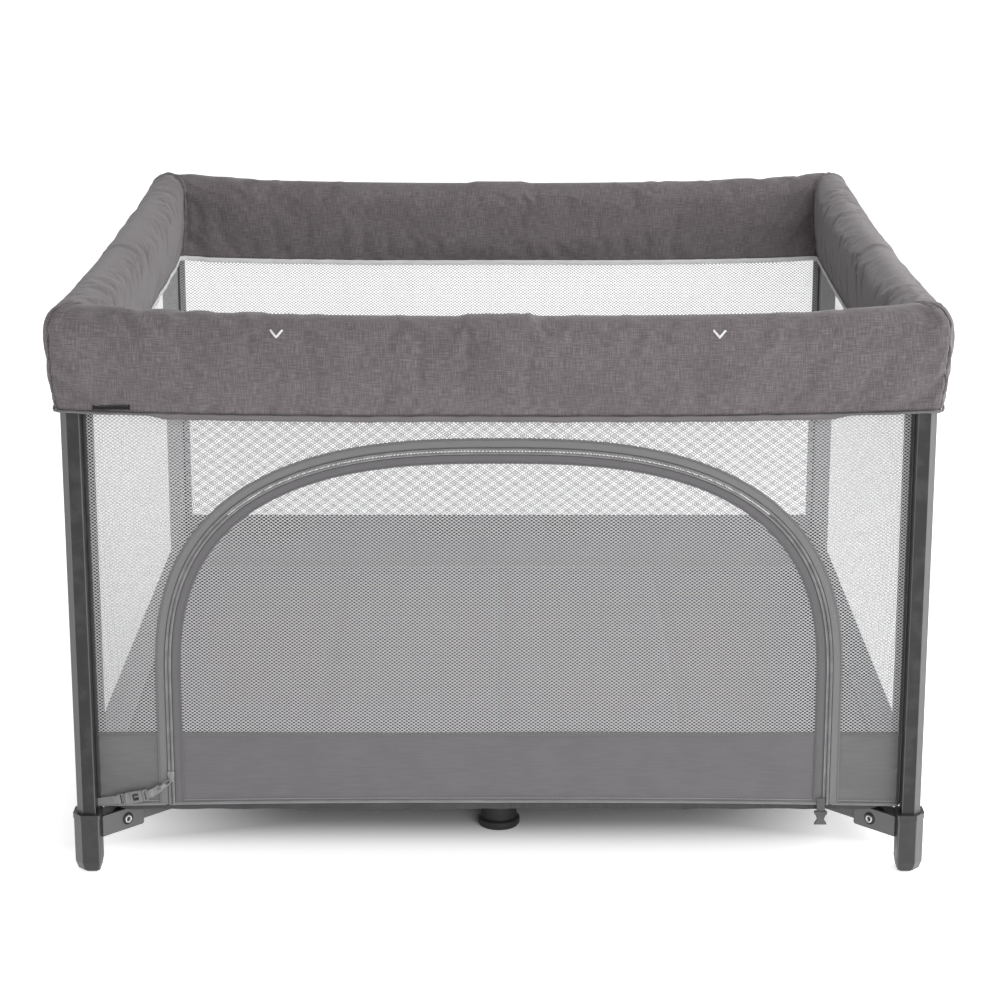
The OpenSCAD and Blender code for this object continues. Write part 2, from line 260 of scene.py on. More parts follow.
def rounded_bar(thickness, width, soft, steps=3):
    """Outline of a flat bar with rounded edges as (outward, sideways) points."""
    points = []
    for turn_at, (a, b) in enumerate(((1, 1), (-1, 1), (-1, -1), (1, -1))):
        for i in range(steps + 1):
            angle = math.radians(90 * turn_at + 90 * i / steps)
            x = a * (thickness / 2 - soft) + soft * math.cos(angle)
            y = b * (width / 2 - soft) + soft * math.sin(angle)
            points.append((x, y))
    return points


def circle(x, z, radius, sides):
    """Corners of a regular polygon about a point."""
    angles = [2 * math.pi * i / sides for i in range(sides)]
    return [(x + radius * math.cos(a), z + radius * math.sin(a)) for a in angles]


def round_bar(radius, sides=10):
    """Outline of a round cord as (outward, sideways) points."""
    return circle(0, 0, radius, sides)


def stitches(shape, centres, directions, normals, length, radius, material, flat=1.0):
    """Short round-ended threads, one at each centre."""
    centres = np.asarray(centres, float).reshape(-1, 3)
    if not len(centres):
        return shape
    along = unit(np.broadcast_to(np.asarray(directions, float), centres.shape))
    normal = np.broadcast_to(np.asarray(normals, float), centres.shape)
    side = unit(np.cross(along, normal))
    up = unit(np.cross(side, along))
    places = np.array([-1, -0.75, 0.0, 0.75, 1]) * length / 2
    widths = np.array([0.25, 0.85, 1.0, 0.85, 0.25]) * radius
    angles = np.arange(6) * math.pi / 3
    ring = np.cos(angles)[:, None] * side[:, None] + flat * np.sin(angles)[:, None] * up[:, None]
    points = (
        centres[:, None, None]
        + along[:, None, None] * places[None, :, None, None]
        + ring[:, None] * widths[None, :, None, None]
    )
    one = grid_faces(len(places), len(angles), wrap_columns=True)
    ends = [[0, 1, 2, 3], [0, 3, 4, 5], [27, 26, 25, 24], [24, 29, 28, 27]]
    per = len(places) * len(angles)
    faces = []
    for i in range(len(centres)):
        faces += (one + i * per).tolist() + [[k + i * per for k in end] for end in ends]
    return shape.add(points, faces, material)


def stitch_row(shape, line, outward, spacing, length, radius, material, slant=0.0):
    """A row of stitches along a line; slant turns each one out of the row, in radians."""
    spots = resampled(line, spacing)
    if len(spots) < 3:
        return shape
    along = tangents(spots)
    outward = np.broadcast_to(np.asarray(outward, float), spots.shape)
    side = unit(np.cross(along, outward))
    direction = along * math.cos(slant) + side * math.sin(slant)
    return stitches(shape, spots, direction, outward, length, radius, material)


# ---------------------------------------------------------------- materials


def node(tree, kind, inputs=None, **settings):
    """A new shader node; each input is a value or another node's output."""
    made = tree.nodes.new("ShaderNode" + kind)
    for key, value in settings.items():
        setattr(made, key, value)
    for key, value in (inputs or {}).items():
        socket = made.inputs[key]
        if isinstance(value, bpy.types.NodeSocket):
            tree.links.new(value, socket)
        else:
            socket.default_value = value
    return made


def number(tree, operation, a, b=0.0):
    """Output of one Math node."""
    return node(tree, "Math", {0: a, 1: b}, operation=operation).outputs[0]


def times(tree, a, b):
    return number(tree, "MULTIPLY", a, b)


def plus(tree, a, b):
    return number(tree, "ADD", a, b)


def shade(colour, share):
    """A colour made darker or lighter."""
    return tuple(min(1, c * share) for c in colour)


def spread(tree, value, low, high, to_low=0.0, to_high=1.0):
    """A value mapped smoothly from one range to another."""
    inputs = {"Value": value, "From Min": low, "From Max": high, "To Min": to_low, "To Max": to_high}
    return node(tree, "MapRange", inputs, interpolation_type="SMOOTHSTEP").outputs["Result"]


def colour_mix(tree, factor, a, b):
    mixed = node(tree, "Mix", {"Factor": factor}, data_type="RGBA")
    for socket, value in ((mixed.inputs[6], a), (mixed.inputs[7], b)):
        if isinstance(value, bpy.types.NodeSocket):
            tree.links.new(value, socket)
        else:
            socket.default_value = (*value, 1)
    return mixed.outputs[2]


def noise_at(tree, place, scale, detail=2.0, stretch=(1, 1, 1)):
    scaled = node(tree, "Mapping", {"Vector": place, "Scale": stretch}).outputs[0]
    inputs = {"Vector": scaled, "Scale": scale, "Detail": detail}
    return node(tree, "TexNoise", inputs).outputs[0]


def new_material(name, roughness, sheen=0.0, specular=0.5, metallic=0.0, coat=0.0):
    material = bpy.data.materials.new(name)
    material.use_nodes = True
    tree = material.node_tree
    shader = tree.nodes["Principled BSDF"]
    shader.inputs["Roughness"].default_value = roughness
    shader.inputs["Sheen Weight"].default_value = sheen
    shader.inputs["Specular IOR Level"].default_value = specular
    shader.inputs["Metallic"].default_value = metallic
    shader.inputs["Coat Weight"].default_value = coat
    return material, tree, shader


def cloth_place(tree):
    return node(tree, "UVMap", uv_map=UV).outputs[0]


def object_place(tree):
    return node(tree, "TexCoord").outputs["Object"]


def link_colour(tree, shader, colour):
    tree.links.new(colour, shader.inputs["Base Color"])


def set_bump(tree, shader, height, strength, distance, normal=None):
    inputs = {"Height": height, "Strength": strength, "Distance": distance}
    if normal is not None:
        inputs["Normal"] = normal
    tree.links.new(node(tree, "Bump", inputs).outputs[0], shader.inputs["Normal"])


def thread_height(tree, place, pitch):
    """Height of a plain weave: two sets of threads that pass over and under in turn."""
    parts = node(tree, "SeparateXYZ", {0: place})
    turn_u = times(tree, parts.outputs[0], math.pi / pitch)
    turn_v = times(tree, parts.outputs[1], math.pi / pitch)
    over_u = number(tree, "ABSOLUTE", number(tree, "SINE", turn_u))
    over_v = number(tree, "ABSOLUTE", number(tree, "SINE", turn_v))
    sign = times(tree, number(tree, "COSINE", turn_u), number(tree, "COSINE", turn_v))
    over = spread(tree, sign, -0.2, 0.2)
    picked = node(tree, "Mix", {"Factor": over, 2: over_u, 3: over_v}, data_type="FLOAT")
    return picked.outputs[0]


def melange_cloth(name, dark, middle, light, pitch=1.1 * MM):
    """Heathered plain weave with light and dark slubs along both thread directions."""
    material, tree, shader = new_material(name, 0.92, sheen=0.25, specular=0.25)
    place = cloth_place(tree)
    warp = noise_at(tree, place, 1.0, 2.5, (850, 60, 1))
    weft = noise_at(tree, place, 1.0, 2.5, (60, 850, 1))
    cloud = noise_at(tree, place, 14.0, 3.0)
    slub = plus(tree, times(tree, warp, 0.5), times(tree, weft, 0.5))
    slub = plus(tree, slub, times(tree, cloud, 0.18))
    base = colour_mix(tree, spread(tree, slub, 0.50, 0.60), dark, middle)
    base = colour_mix(tree, spread(tree, slub, 0.60, 0.70), base, light)
    thread = thread_height(tree, place, pitch)
    # Painted shade: the hollows between the threads are darkened.
    shaded = colour_mix(tree, spread(tree, thread, 0.0, 0.7, 0.22, 0.0), base, shade(dark, 0.5))
    link_colour(tree, shader, shaded)
    height = plus(tree, thread, times(tree, slub, 1.2))
    set_bump(tree, shader, height, 0.35, 0.35 * MM)
    return material


def plain_cloth(name, colour, pitch, sheen=0.15, vary=0.12, crease=0.0):
    """Plain woven cloth in one colour, with slight streaks and, if wanted, fine level creases."""
    material, tree, shader = new_material(name, 0.85, sheen=sheen, specular=0.3)
    place = cloth_place(tree)
    streak = noise_at(tree, place, 1.0, 3.0, (30, 420, 1))
    cloud = noise_at(tree, place, 22.0, 3.0)
    thread = thread_height(tree, place, pitch)
    both = plus(tree, times(tree, streak, 0.6), times(tree, cloud, 0.4))
    dark, light = shade(colour, 1 - vary), shade(colour, 1 + vary)
    base = colour_mix(tree, spread(tree, both, 0.38, 0.62), dark, light)
    # Painted shade: the hollows between the threads are darkened.
    base = colour_mix(tree, spread(tree, thread, 0.0, 0.6, 0.16, 0.0), base, shade(colour, 0.4))
    link_colour(tree, shader, base)
    height = plus(tree, times(tree, thread, 0.5), times(tree, streak, crease))
    set_bump(tree, shader, height, 0.4, 0.5 * MM)
    return material


def ribbed_tape(name, colour, rib=1.1 * MM, across=False, roughness=0.75):
    """Narrow woven tape with ribs along or across its length."""
    material, tree, shader = new_material(name, roughness, sheen=0.1, specular=0.35)
    place = cloth_place(tree)
    parts = node(tree, "SeparateXYZ", {0: place})
    run, side = (parts.outputs[0], parts.outputs[1]) if across else (parts.outputs[1], parts.outputs[0])
    ribs = number(tree, "ABSOLUTE", number(tree, "SINE", times(tree, run, math.pi / rib)))
    picks = number(tree, "ABSOLUTE", number(tree, "SINE", times(tree, side, math.pi / (0.6 * rib))))
    fleck = noise_at(tree, place, 900.0, 2.0)
    # Painted shade: the grooves between the ribs are darker.
    base = colour_mix(tree, spread(tree, ribs, 0.0, 0.8), shade(colour, 0.62), colour)
    base = colour_mix(tree, spread(tree, fleck, 0.5, 0.75, 0.0, 0.5), base, shade(colour, 1.35))
    link_colour(tree, shader, base)
    height = plus(tree, ribs, times(tree, picks, 0.4))
    set_bump(tree, shader, height, 0.5, 0.3 * MM)
    return material


def thread_material(name, colour):
    """Twisted sewing thread."""
    material, tree, shader = new_material(name, 0.6, sheen=0.2)
    fine = noise_at(tree, object_place(tree), 1500.0, 1.0)
    base = colour_mix(tree, fine, shade(colour, 0.75), shade(colour, 1.2))
    link_colour(tree, shader, base)
    set_bump(tree, shader, fine, 0.3, 0.1 * MM)
    return material


def netting_material(name, colour, period_u=5.9 * MM, period_v=4.3 * MM, hole=0.274):
    """Knitted netting: rows of oval holes, every other row shifted by half a period."""
    material, tree, shader = new_material(name, 0.7, sheen=0.1, specular=0.3)
    place = cloth_place(tree)
    parts = node(tree, "SeparateXYZ", {0: place})
    u = times(tree, parts.outputs[0], 1 / period_u)
    v = times(tree, parts.outputs[1], 1 / period_v)

    def distance(shift):
        du = number(tree, "SUBTRACT", number(tree, "FRACT", plus(tree, u, shift)), 0.5)
        dv = number(tree, "SUBTRACT", number(tree, "FRACT", plus(tree, v, shift)), 0.5)
        du = times(tree, du, 0.95)
        return number(tree, "SQRT", plus(tree, times(tree, du, du), times(tree, dv, dv)))

    nearest = number(tree, "MINIMUM", distance(0.0), distance(0.5))
    solid = spread(tree, nearest, hole - 0.02, hole + 0.02)
    twist = noise_at(tree, place, 1100.0, 1.0)
    base = colour_mix(tree, twist, shade(colour, 0.8), shade(colour, 1.15))
    link_colour(tree, shader, base)
    tree.links.new(solid, shader.inputs["Alpha"])
    set_bump(tree, shader, nearest, 0.4, 0.5 * MM)
    return material


def painted_chamfer_mask(tree):
    """1 on faces that stand at 45 degrees to the sides, which get a painted highlight for the bright
    reflection they catch, 0 elsewhere.
    """
    parts = node(tree, "SeparateXYZ", {0: node(tree, "TexCoord").outputs["Normal"]})
    both = number(tree, "ABSOLUTE", times(tree, parts.outputs[0], parts.outputs[1]))
    return spread(tree, both, 0.30, 0.46)


def coated_metal(name, colour, chamfer_highlight, roughness=0.38):
    """Satin powder coat over steel tube: fine orange peel, a painted highlight on the chamfers and faint
    handling marks.
    """
    material, tree, shader = new_material(name, roughness, specular=0.35, coat=0.04)
    place = object_place(tree)
    peel = noise_at(tree, place, 700.0, 2.0)
    rub = noise_at(tree, place, 40.0, 6.0)
    # Paler colour on the chamfers: a painted highlight standing in for the reflection of the bright studio
    # sides.
    base = colour_mix(tree, painted_chamfer_mask(tree), colour, chamfer_highlight)
    worn = colour_mix(tree, spread(tree, rub, 0.45, 0.70, 0.0, 0.10), base, (0.20, 0.20, 0.20))
    link_colour(tree, shader, worn)
    rough = spread(tree, rub, 0.35, 0.75, roughness - 0.04, roughness + 0.08)
    tree.links.new(rough, shader.inputs["Roughness"])
    set_bump(tree, shader, peel, 0.08, 0.15 * MM)
    return material


def moulded_plastic(name, colour, roughness=0.5, grain=1500.0, bevel=1.0 * MM, chamfer_highlight=None):
    """Injection moulded plastic with a spark-eroded grain and soft edges."""
    material, tree, shader = new_material(name, roughness, specular=0.45)
    place = object_place(tree)
    fine = noise_at(tree, place, grain, 2.0)
    cloud = noise_at(tree, place, 60.0, 5.0)
    soft = node(tree, "Bevel", {"Radius": bevel}).outputs[0]
    dark, light = shade(colour, 0.88), shade(colour, 1.18)
    base = colour_mix(tree, spread(tree, cloud, 0.35, 0.7), dark, light)
    # Paler colour on the chamfers, if given: a painted highlight.
    if chamfer_highlight is not None:
        base = colour_mix(tree, painted_chamfer_mask(tree), base, chamfer_highlight)
    link_colour(tree, shader, base)
    rough = spread(tree, cloud, 0.3, 0.7, roughness - 0.05, roughness + 0.08)
    tree.links.new(rough, shader.inputs["Roughness"])
    set_bump(tree, shader, fine, 0.22, 0.25 * MM, soft)
    return material


def bright_steel(name):
    """Zinc plated rivet steel with faint turning marks."""
    material, tree, shader = new_material(name, 0.28, metallic=1.0)
    marks = noise_at(tree, object_place(tree), 2500.0, 2.0)
    link_colour(tree, shader, colour_mix(tree, marks, (0.55, 0.56, 0.58), (0.8, 0.8, 0.82)))
    set_bump(tree, shader, marks, 0.15, 0.1 * MM)
    return material


# Half width of the floor under the pen, and how far forward it reaches; the floor glows outside it
SHADE_X = 0.45
SHADE_BACK = 0.40
SHADE_FRONT = -0.42
SIDE_SOFTNESS = 0.3


def floor_material():
    """White studio floor that glows everywhere but under the pen: painted light, with a painted shadow where
    the pen stands.
    """
    material, tree, shader = new_material("studio_floor", 0.6, specular=0.2)
    place = object_place(tree)
    cloud = noise_at(tree, place, 1.5, 3.0)
    link_colour(tree, shader, colour_mix(tree, cloud, (0.86, 0.86, 0.86), (0.89, 0.89, 0.89)))
    parts = node(tree, "SeparateXYZ", {0: place})
    aside = number(tree, "SUBTRACT", number(tree, "ABSOLUTE", parts.outputs[0]), SHADE_X)
    ahead = number(tree, "SUBTRACT", SHADE_FRONT, parts.outputs[1])
    behind = number(tree, "SUBTRACT", parts.outputs[1], SHADE_BACK)
    beside = times(tree, number(tree, "MAXIMUM", aside, behind), SIDE_SOFTNESS)
    outside = number(tree, "MAXIMUM", beside, ahead)
    # The glow is painted light; where it fades to nothing under the pen, that is a painted shadow.
    shader.inputs["Emission Color"].default_value = (1, 1, 1, 1)
    tree.links.new(spread(tree, outside, -0.06, 0.06, 0.0, 0.7), shader.inputs["Emission Strength"])
    return material


padding = melange_cloth(
    "padding_melange", dark=(0.100, 0.087, 0.091), middle=(0.129, 0.114, 0.119), light=(0.172, 0.155, 0.161)
)
binding = plain_cloth("binding_tape", (0.165, 0.153, 0.158), 0.8 * MM, vary=0.1)
selvedge = plain_cloth("net_selvedge", (0.60, 0.60, 0.61), 1.0 * MM, vary=0.06)
dark_thread = thread_material("dark_thread", (0.03, 0.028, 0.03))
grey_thread = thread_material("grey_thread", (0.12, 0.118, 0.12))
white_thread = thread_material("white_thread", (0.72, 0.71, 0.70))
light_thread = thread_material("light_thread", (0.42, 0.42, 0.42))
label_cloth = plain_cloth("label_satin", (0.008, 0.008, 0.009), 0.5 * MM)
netting = netting_material("netting", (0.475, 0.475, 0.483))
side_skirt = plain_cloth("skirt_side", (0.150, 0.150, 0.151), 0.7 * MM, vary=0.05, crease=1.0)
door_skirt = plain_cloth("skirt_door", (0.142, 0.136, 0.144), 0.7 * MM, vary=0.05, crease=1.0)
piping = plain_cloth("hem_piping", (0.20, 0.198, 0.201), 0.7 * MM)
corner_tape = plain_cloth("corner_tape", (0.055, 0.055, 0.056), 0.8 * MM)
outer_tape = ribbed_tape("zip_tape_outer", (0.198, 0.197, 0.197))
inner_tape = ribbed_tape("zip_tape_inner", (0.142, 0.137, 0.142))
coil_plastic = moulded_plastic("zip_coil", (0.235, 0.234, 0.236), 0.5, 2500.0, 0.2 * MM)
mat_cloth = plain_cloth("mat_cover", (0.060, 0.058, 0.062), 0.9 * MM, vary=0.06, crease=0.6)
mat_edge = plain_cloth("mat_piping", (0.022, 0.021, 0.022), 0.8 * MM)
floor_cloth = plain_cloth("floor_sheet", (0.06, 0.06, 0.062), 0.9 * MM)
webbing = ribbed_tape("webbing", (0.225, 0.225, 0.228), 1.3 * MM)
dark_webbing = ribbed_tape("webbing_dark", (0.11, 0.11, 0.112), 1.3 * MM)
buckle_plastic = moulded_plastic("buckle_plastic", (0.185, 0.185, 0.188), 0.42, 1800.0, 0.4 * MM)
dark_buckle = moulded_plastic("buckle_dark", (0.075, 0.075, 0.077), 0.42, 1800.0, 0.4 * MM)
# The paler second colour of the posts and feet is a painted highlight on their chamfers.
post_paint = coated_metal("post_paint", (0.017, 0.017, 0.0175), (0.105, 0.105, 0.106), 0.36)
foot_plastic = moulded_plastic("foot_plastic", (0.030, 0.030, 0.031), 0.42, chamfer_highlight=(0.115, 0.115, 0.116))
black_plastic = moulded_plastic("black_plastic", (0.014, 0.014, 0.015), 0.5)
steel = bright_steel("rivet_steel")


# ---------------------------------------------------------------- camera, light and floor


CAMERA_PLACE = (0.0016, -3.8313, 1.4048)
CAMERA_DOWN = 15.4


def make_camera():
    data = bpy.data.cameras.new("camera")
    data.sensor_width = 36
    data.lens = 98.75
    camera = bpy.data.objects.new("camera", data)
    camera.location = CAMERA_PLACE
    camera.rotation_euler = (math.radians(90 - CAMERA_DOWN), 0, 0)
    bpy.context.scene.collection.objects.link(camera)
    bpy.context.scene.camera = camera


def area_light(name, place, target, size, power):
    data = bpy.data.lights.new(name, "AREA")
    data.shape = "RECTANGLE"
    data.size, data.size_y = size
    data.energy = power
    light = bpy.data.objects.new(name, data)
    light.location = place
    light.rotation_euler = (Vector(target) - Vector(place)).to_track_quat("-Z", "Y").to_euler()
    bpy.context.scene.collection.objects.link(light)


# The floor's half width, and where and how roundly it turns up into the backdrop
FLOOR_REACH = 9.0
SWEEP_Y = 3.5
SWEEP_R = 3.2


def make_studio():
    """Even world light, four area lights and a floor that sweeps up behind the pen."""
    world = bpy.data.worlds.new("studio")
    world.use_nodes = True
    background = world.node_tree.nodes["Background"]
    background.inputs["Color"].default_value = (0.97, 0.97, 0.975, 1)
    background.inputs["Strength"].default_value = 0.37
    bpy.context.scene.world = world
    bpy.context.scene.view_settings.view_transform = "Standard"
    area_light("left_softbox", (-2.9, 0.1, 1.0), (0, 0, 0.45), (2.2, 1.9), 4)
    area_light("right_softbox", (3.0, -0.3, 1.3), (0, 0, 0.45), (2.2, 2.2), 58)
    area_light("top_softbox", (0.9, -0.5, 2.3), (-0.1, 0.4, 0.4), (1.6, 1.2), 20)
    area_light("front_key", (2.3, -7.0, 2.9), (0, -0.2, 0.35), (4.4, 1.7), 250)
    floor = Shape()
    across = np.linspace(-FLOOR_REACH, FLOOR_REACH, 9)
    turn = np.linspace(0.2, 1.57, 7)
    back = np.concatenate([np.linspace(-FLOOR_REACH, SWEEP_Y, 7), SWEEP_Y + SWEEP_R * np.sin(turn)])
    lift = np.concatenate([np.zeros(7), SWEEP_R * (1 - np.cos(turn))])
    points = [[(x, y, z) for y, z in zip(back, lift)] for x in across]
    floor.grid(points, floor_material())
    obj = floor.build("studio_floor", Matrix.Translation((0, 0, foot_low.z - 0.2 * MM)))


make_camera()
make_studio()

# ---------------------------------------------------------------- padding: one ring, cut into its pieces

# Half width of the sleeve at its seam, and the roundness of its four corners outside and inside
FACE_LOW = 20 * MM
OUTER_R = 22 * MM
INNER_R = 8 * MM
# Binding along the lower edge, narrower past this distance from a side's middle
BINDING_H = 7.6 * MM
BINDING_END = 423 * MM
# Mesh: spacing along a side, angles from the mitre seam, columns beside it, points up a face and over
# the top
COARSE = 7.4 * MM
ARC_STEPS = (0, 2.5, 6, 12, 21, 32, 45)
TRANSITION = 6
FACE_POINTS = 15
TOP_POINTS = 12
# Cloth simulation: how much too long the cloth is, its inner pressure, and the shares of the result kept
PAD_SLACK = 0.035
PAD_PRESSURE = 4.0
SWELL_KEPT = 0.30
WRINKLES_KEPT = 0.65
PAD_SHIFT_MOST = 6 * MM


def pad_top_at(x):
    """Height of the padding's top along a side: a little low in the middle, with a rise over the latch."""
    share = np.clip(np.abs(x) / HALF, 0, 1)
    latch = smooth_step((52 * MM - np.abs(x)) / (16 * MM))
    return PAD_TOP - 10 * MM * (1 - share**2.2) + 2.6 * MM * latch


def pad_seam_at(x):
    """Height of the seam above the binding along a side."""
    share = np.clip(np.abs(x) / HALF, 0, 1)
    return PAD_LOW + BINDING_H - 1 * MM + 8 * MM * share**3


def section_rows():
    """Half of the padding's outline, from the bottom's middle to the top: (offset, kind, share)."""
    rows = [(d * MM, "under", d / 16) for d in (0, 5, 10, 15)]
    for angle in (-60, -30):
        rows.append((angle, "fillet", math.radians(angle)))
    for i in range(FACE_POINTS + 1):
        rows.append((0, "face", i / FACE_POINTS))
    for i in range(1, TOP_POINTS + 1):
        rows.append((0, "crown", math.pi / 2 * i / TOP_POINTS))
    return rows


def section_at(top, low):
    """Offsets and heights of the half outline for a top and a seam height."""
    soft = 4 * MM
    crown = top - PAD_R
    out = []
    for d, kind, t in section_rows():
        if kind == "under":
            out.append((d, low + 4 * MM * (1 - t**2)))
        elif kind == "fillet":
            out.append((FACE_LOW - soft + soft * math.cos(t), low + soft + soft * math.sin(t)))
        elif kind == "face":
            bulge = 2.2 * MM * math.sin(math.pi * t)
            reach = FACE_LOW + (PAD_R - FACE_LOW) * t + bulge
            out.append((reach, low + soft + (crown - low - soft) * t))
        else:
            out.append((PAD_R * math.cos(t), crown + PAD_R * math.sin(t)))
    return np.array(out)


def column_list():
    """Columns of one side from its left mitre seam up to the next one: (kind, value)."""
    columns = [("left_arc", a) for a in ARC_STEPS]
    columns += [("left_run", k / TRANSITION) for k in range(1, TRANSITION)]
    straight = 2 * int(round(SPLIT / COARSE))
    columns += [("straight", x) for x in np.linspace(-SPLIT, SPLIT, straight + 1)]
    columns += [("right_run", k / TRANSITION) for k in range(TRANSITION - 1, 0, -1)]
    columns += [("right_arc", a) for a in reversed(ARC_STEPS[1:])]
    return columns


def ring_points():
    """Rest points of the padding's skin: columns round the pen by rows round the outline."""
    columns = column_list()
    rings, seam_gap, place_x = [], [], []
    for side in range(4):
        turn = np.array(Matrix.Rotation(math.radians(90 * side), 3, "Z"))
        for kind, value in columns:
            sign = 1 if kind.startswith("right") else -1
            x = value if kind == "straight" else sign * HALF
            if kind.endswith("run"):
                x -= sign * (HALF - SPLIT) * value
            half = section_at(float(pad_top_at(x)), float(pad_seam_at(x)))
            loop = np.vstack([half, (half * (-1, 1))[-2:0:-1]])
            points = []
            for d, z in loop:
                reach = HALF + d
                radius = INNER_R + (OUTER_R - INNER_R) * (d + PAD_R) / (2 * PAD_R)
                if kind == "straight":
                    point = (value, -reach, z)
                elif kind.endswith("run"):
                    edge = reach - radius
                    point = (sign * (edge + (SPLIT - edge) * value), -reach, z)
                else:
                    angle = math.radians(270 + sign * (45 - value))
                    point = (
                        sign * (reach - radius) + radius * math.cos(angle),
                        -reach + radius + radius * math.sin(angle),
                        z,
                    )
                points.append(point)
            rings.append(np.array(points) @ turn.T)
            seam_gap.append(math.radians(value) * OUTER_R if kind.endswith("arc") else 1.0)
            place_x.append(x)
    return np.array(rings), np.array(seam_gap), np.array(place_x), len(columns)


CLOTH_FRAMES = 20
STRETCH_STIFFNESS = 12.0
BEND_STIFFNESS = 0.25
CLOTH_MASS = 0.25


def relaxed(points, faces, held, slack, pressure):
    """Points of a closed skin after Blender's cloth has swelled it; held are the sewn points."""
    mesh = bpy.data.meshes.new("cloth_work")
    mesh.from_pydata(points.tolist(), [], faces)
    obj = bpy.data.objects.new("cloth_work", mesh)
    bpy.context.scene.collection.objects.link(obj)
    group = obj.vertex_groups.new(name="held")
    group.add([int(i) for i in held], 1.0, "REPLACE")
    cloth = obj.modifiers.new("cloth", "CLOTH")
    cloth.settings.quality = 4
    cloth.settings.mass = CLOTH_MASS
    cloth.settings.tension_stiffness = STRETCH_STIFFNESS
    cloth.settings.compression_stiffness = STRETCH_STIFFNESS
    cloth.settings.shear_stiffness = STRETCH_STIFFNESS / 3
    cloth.settings.bending_stiffness = BEND_STIFFNESS
    cloth.settings.shrink_min = -slack
    cloth.settings.use_pressure = True
    cloth.settings.uniform_pressure_force = pressure
    cloth.settings.vertex_group_mass = "held"
    cloth.settings.effector_weights.gravity = 0
    cloth.collision_settings.use_collision = False
    cloth.point_cache.frame_start = 1
    cloth.point_cache.frame_end = CLOTH_FRAMES
    scene = bpy.context.scene
    for moment in range(1, CLOTH_FRAMES + 1):
        scene.frame_set(moment)
    evaluated = obj.evaluated_get(bpy.context.evaluated_depsgraph_get())
    result = np.zeros(len(points) * 3, np.float32)
    evaluated.data.vertices.foreach_get("co", result)
    bpy.data.objects.remove(obj)
    bpy.data.meshes.remove(mesh)
    scene.frame_set(1)
    return result.reshape(-1, 3).astype(float)


def blurred(values, rounds):
    """Values on a closed grid averaged with their neighbours, several times."""
    for axis in (0, 1) * rounds:
        values = (np.roll(values, 1, axis) + 2 * values + np.roll(values, -1, axis)) / 4
    return values


def doubled(values, axis):
    """Values with a smooth midpoint between each neighbouring pair, round a closed axis."""
    before, after = np.roll(values, 1, axis), np.roll(values, -1, axis)
    further = np.roll(values, -2, axis)
    middle = (9 * (values + after) - before - further) / 16
    stacked = np.stack([values, middle], axis + 1)
    shape = list(values.shape)
    shape[axis] *= 2
    return stacked.reshape(shape)


def ring_normals(points):
    """Outward normals of the padding's skin, a grid closed both ways whose middle row is its top."""
    du = np.roll(points, -1, 0) - np.roll(points, 1, 0)
    dv = np.roll(points, -1, 1) - np.roll(points, 1, 1)
    normals = unit(np.cross(du, dv))
    return normals * np.sign(np.mean(normals[:, points.shape[1] // 2, 2]))


def make_ring():
    """The padding's finished skin with what its pieces need to know about each column and row."""
    rest, seam_gap, place_x, per_side = ring_points()
    columns, rows = rest.shape[:2]
    seam = [kind for _, kind, _ in section_rows()].index("face")
    normal = ring_normals(rest)
    start = rest + normal * (0.7 * MM * wander(rest * 38, 3.1))[..., None]
    held = np.zeros((columns, rows), bool)
    held[:, : seam + 1] = True
    held[:, rows - seam :] = True
    held[seam_gap < 0.1 * MM] = True
    faces = grid_faces(columns, rows, True, True).tolist()
    if normal_sign(rest, faces, normal) < 0:
        faces = [face[::-1] for face in faces]
    sim = relaxed(start.reshape(-1, 3), faces, np.flatnonzero(held), PAD_SLACK, PAD_PRESSURE)
    shift = sim.reshape(rest.shape) - rest
    broad = blurred(shift, 10)
    shift = SWELL_KEPT * broad + WRINKLES_KEPT * (shift - broad)
    size = np.linalg.norm(shift, axis=-1, keepdims=True)
    final = rest + shift * np.minimum(1, PAD_SHIFT_MOST / np.maximum(size, 1e-9))
    for axis in (0, 1):
        final = doubled(final, axis)
    gap = np.repeat(seam_gap, 2)
    between = np.abs(np.roll(seam_gap, -1) + seam_gap) / 2
    gap[1::2] = np.where(between < 0.05, between, 1.0)
    x2 = np.repeat(place_x, 2)
    x2[1::2] = (place_x + np.roll(place_x, -1)) / 2
    return final, gap, x2, per_side * 2, seam * 2


def normal_sign(points, faces, normals):
    """Whether faces wind with the outward normals."""
    flat, out = points.reshape(-1, 3), normals.reshape(-1, 3)
    a, b, c = (flat[[f[i] for f in faces[:400]]] for i in range(3))
    return np.sum(np.cross(b - a, c - a) * out[[f[0] for f in faces[:400]]])


ring, ring_gap, ring_x, side_columns, seam_row = make_ring()
ring_rows = ring.shape[1]
half_count = ring_rows // 2


def sewn_skin():
    """The ring with the mitre seams' grooves and the gathers above the binding."""
    groove = 1.9 * MM * np.exp(-((ring_gap / (1.5 * MM)) ** 2)) - 0.8 * MM * np.exp(
        -(((ring_gap - 4.5 * MM) / (2.4 * MM)) ** 2)
    )
    skin = np.minimum(np.arange(ring_rows), ring_rows - np.arange(ring_rows)) >= seam_row
    shift = -groove[:, None] * skin[None, :]
    height = ring[..., 2] - (pad_seam_at(ring_x) + 2 * MM)[:, None]
    gathers = wander(np.stack([ring[..., 0] * 62, ring[..., 1] * 62, ring[..., 2] * 9], -1), 5.3)
    shift += np.where(skin, gathers * 1.5 * MM * np.exp(-np.clip(height, 0, 1) / (17 * MM)), 0)
    folds = wander(np.stack([ring[..., 0] * 34, ring[..., 1] * 34, ring[..., 2] * 16], -1), 8.8)
    near_corner = smooth_step((np.abs(ring_x) - (HALF - 150 * MM)) / (130 * MM))
    shift += np.where(skin, folds * 1.6 * MM * near_corner[:, None], 0)
    return ring + ring_normals(ring) * shift[..., None]


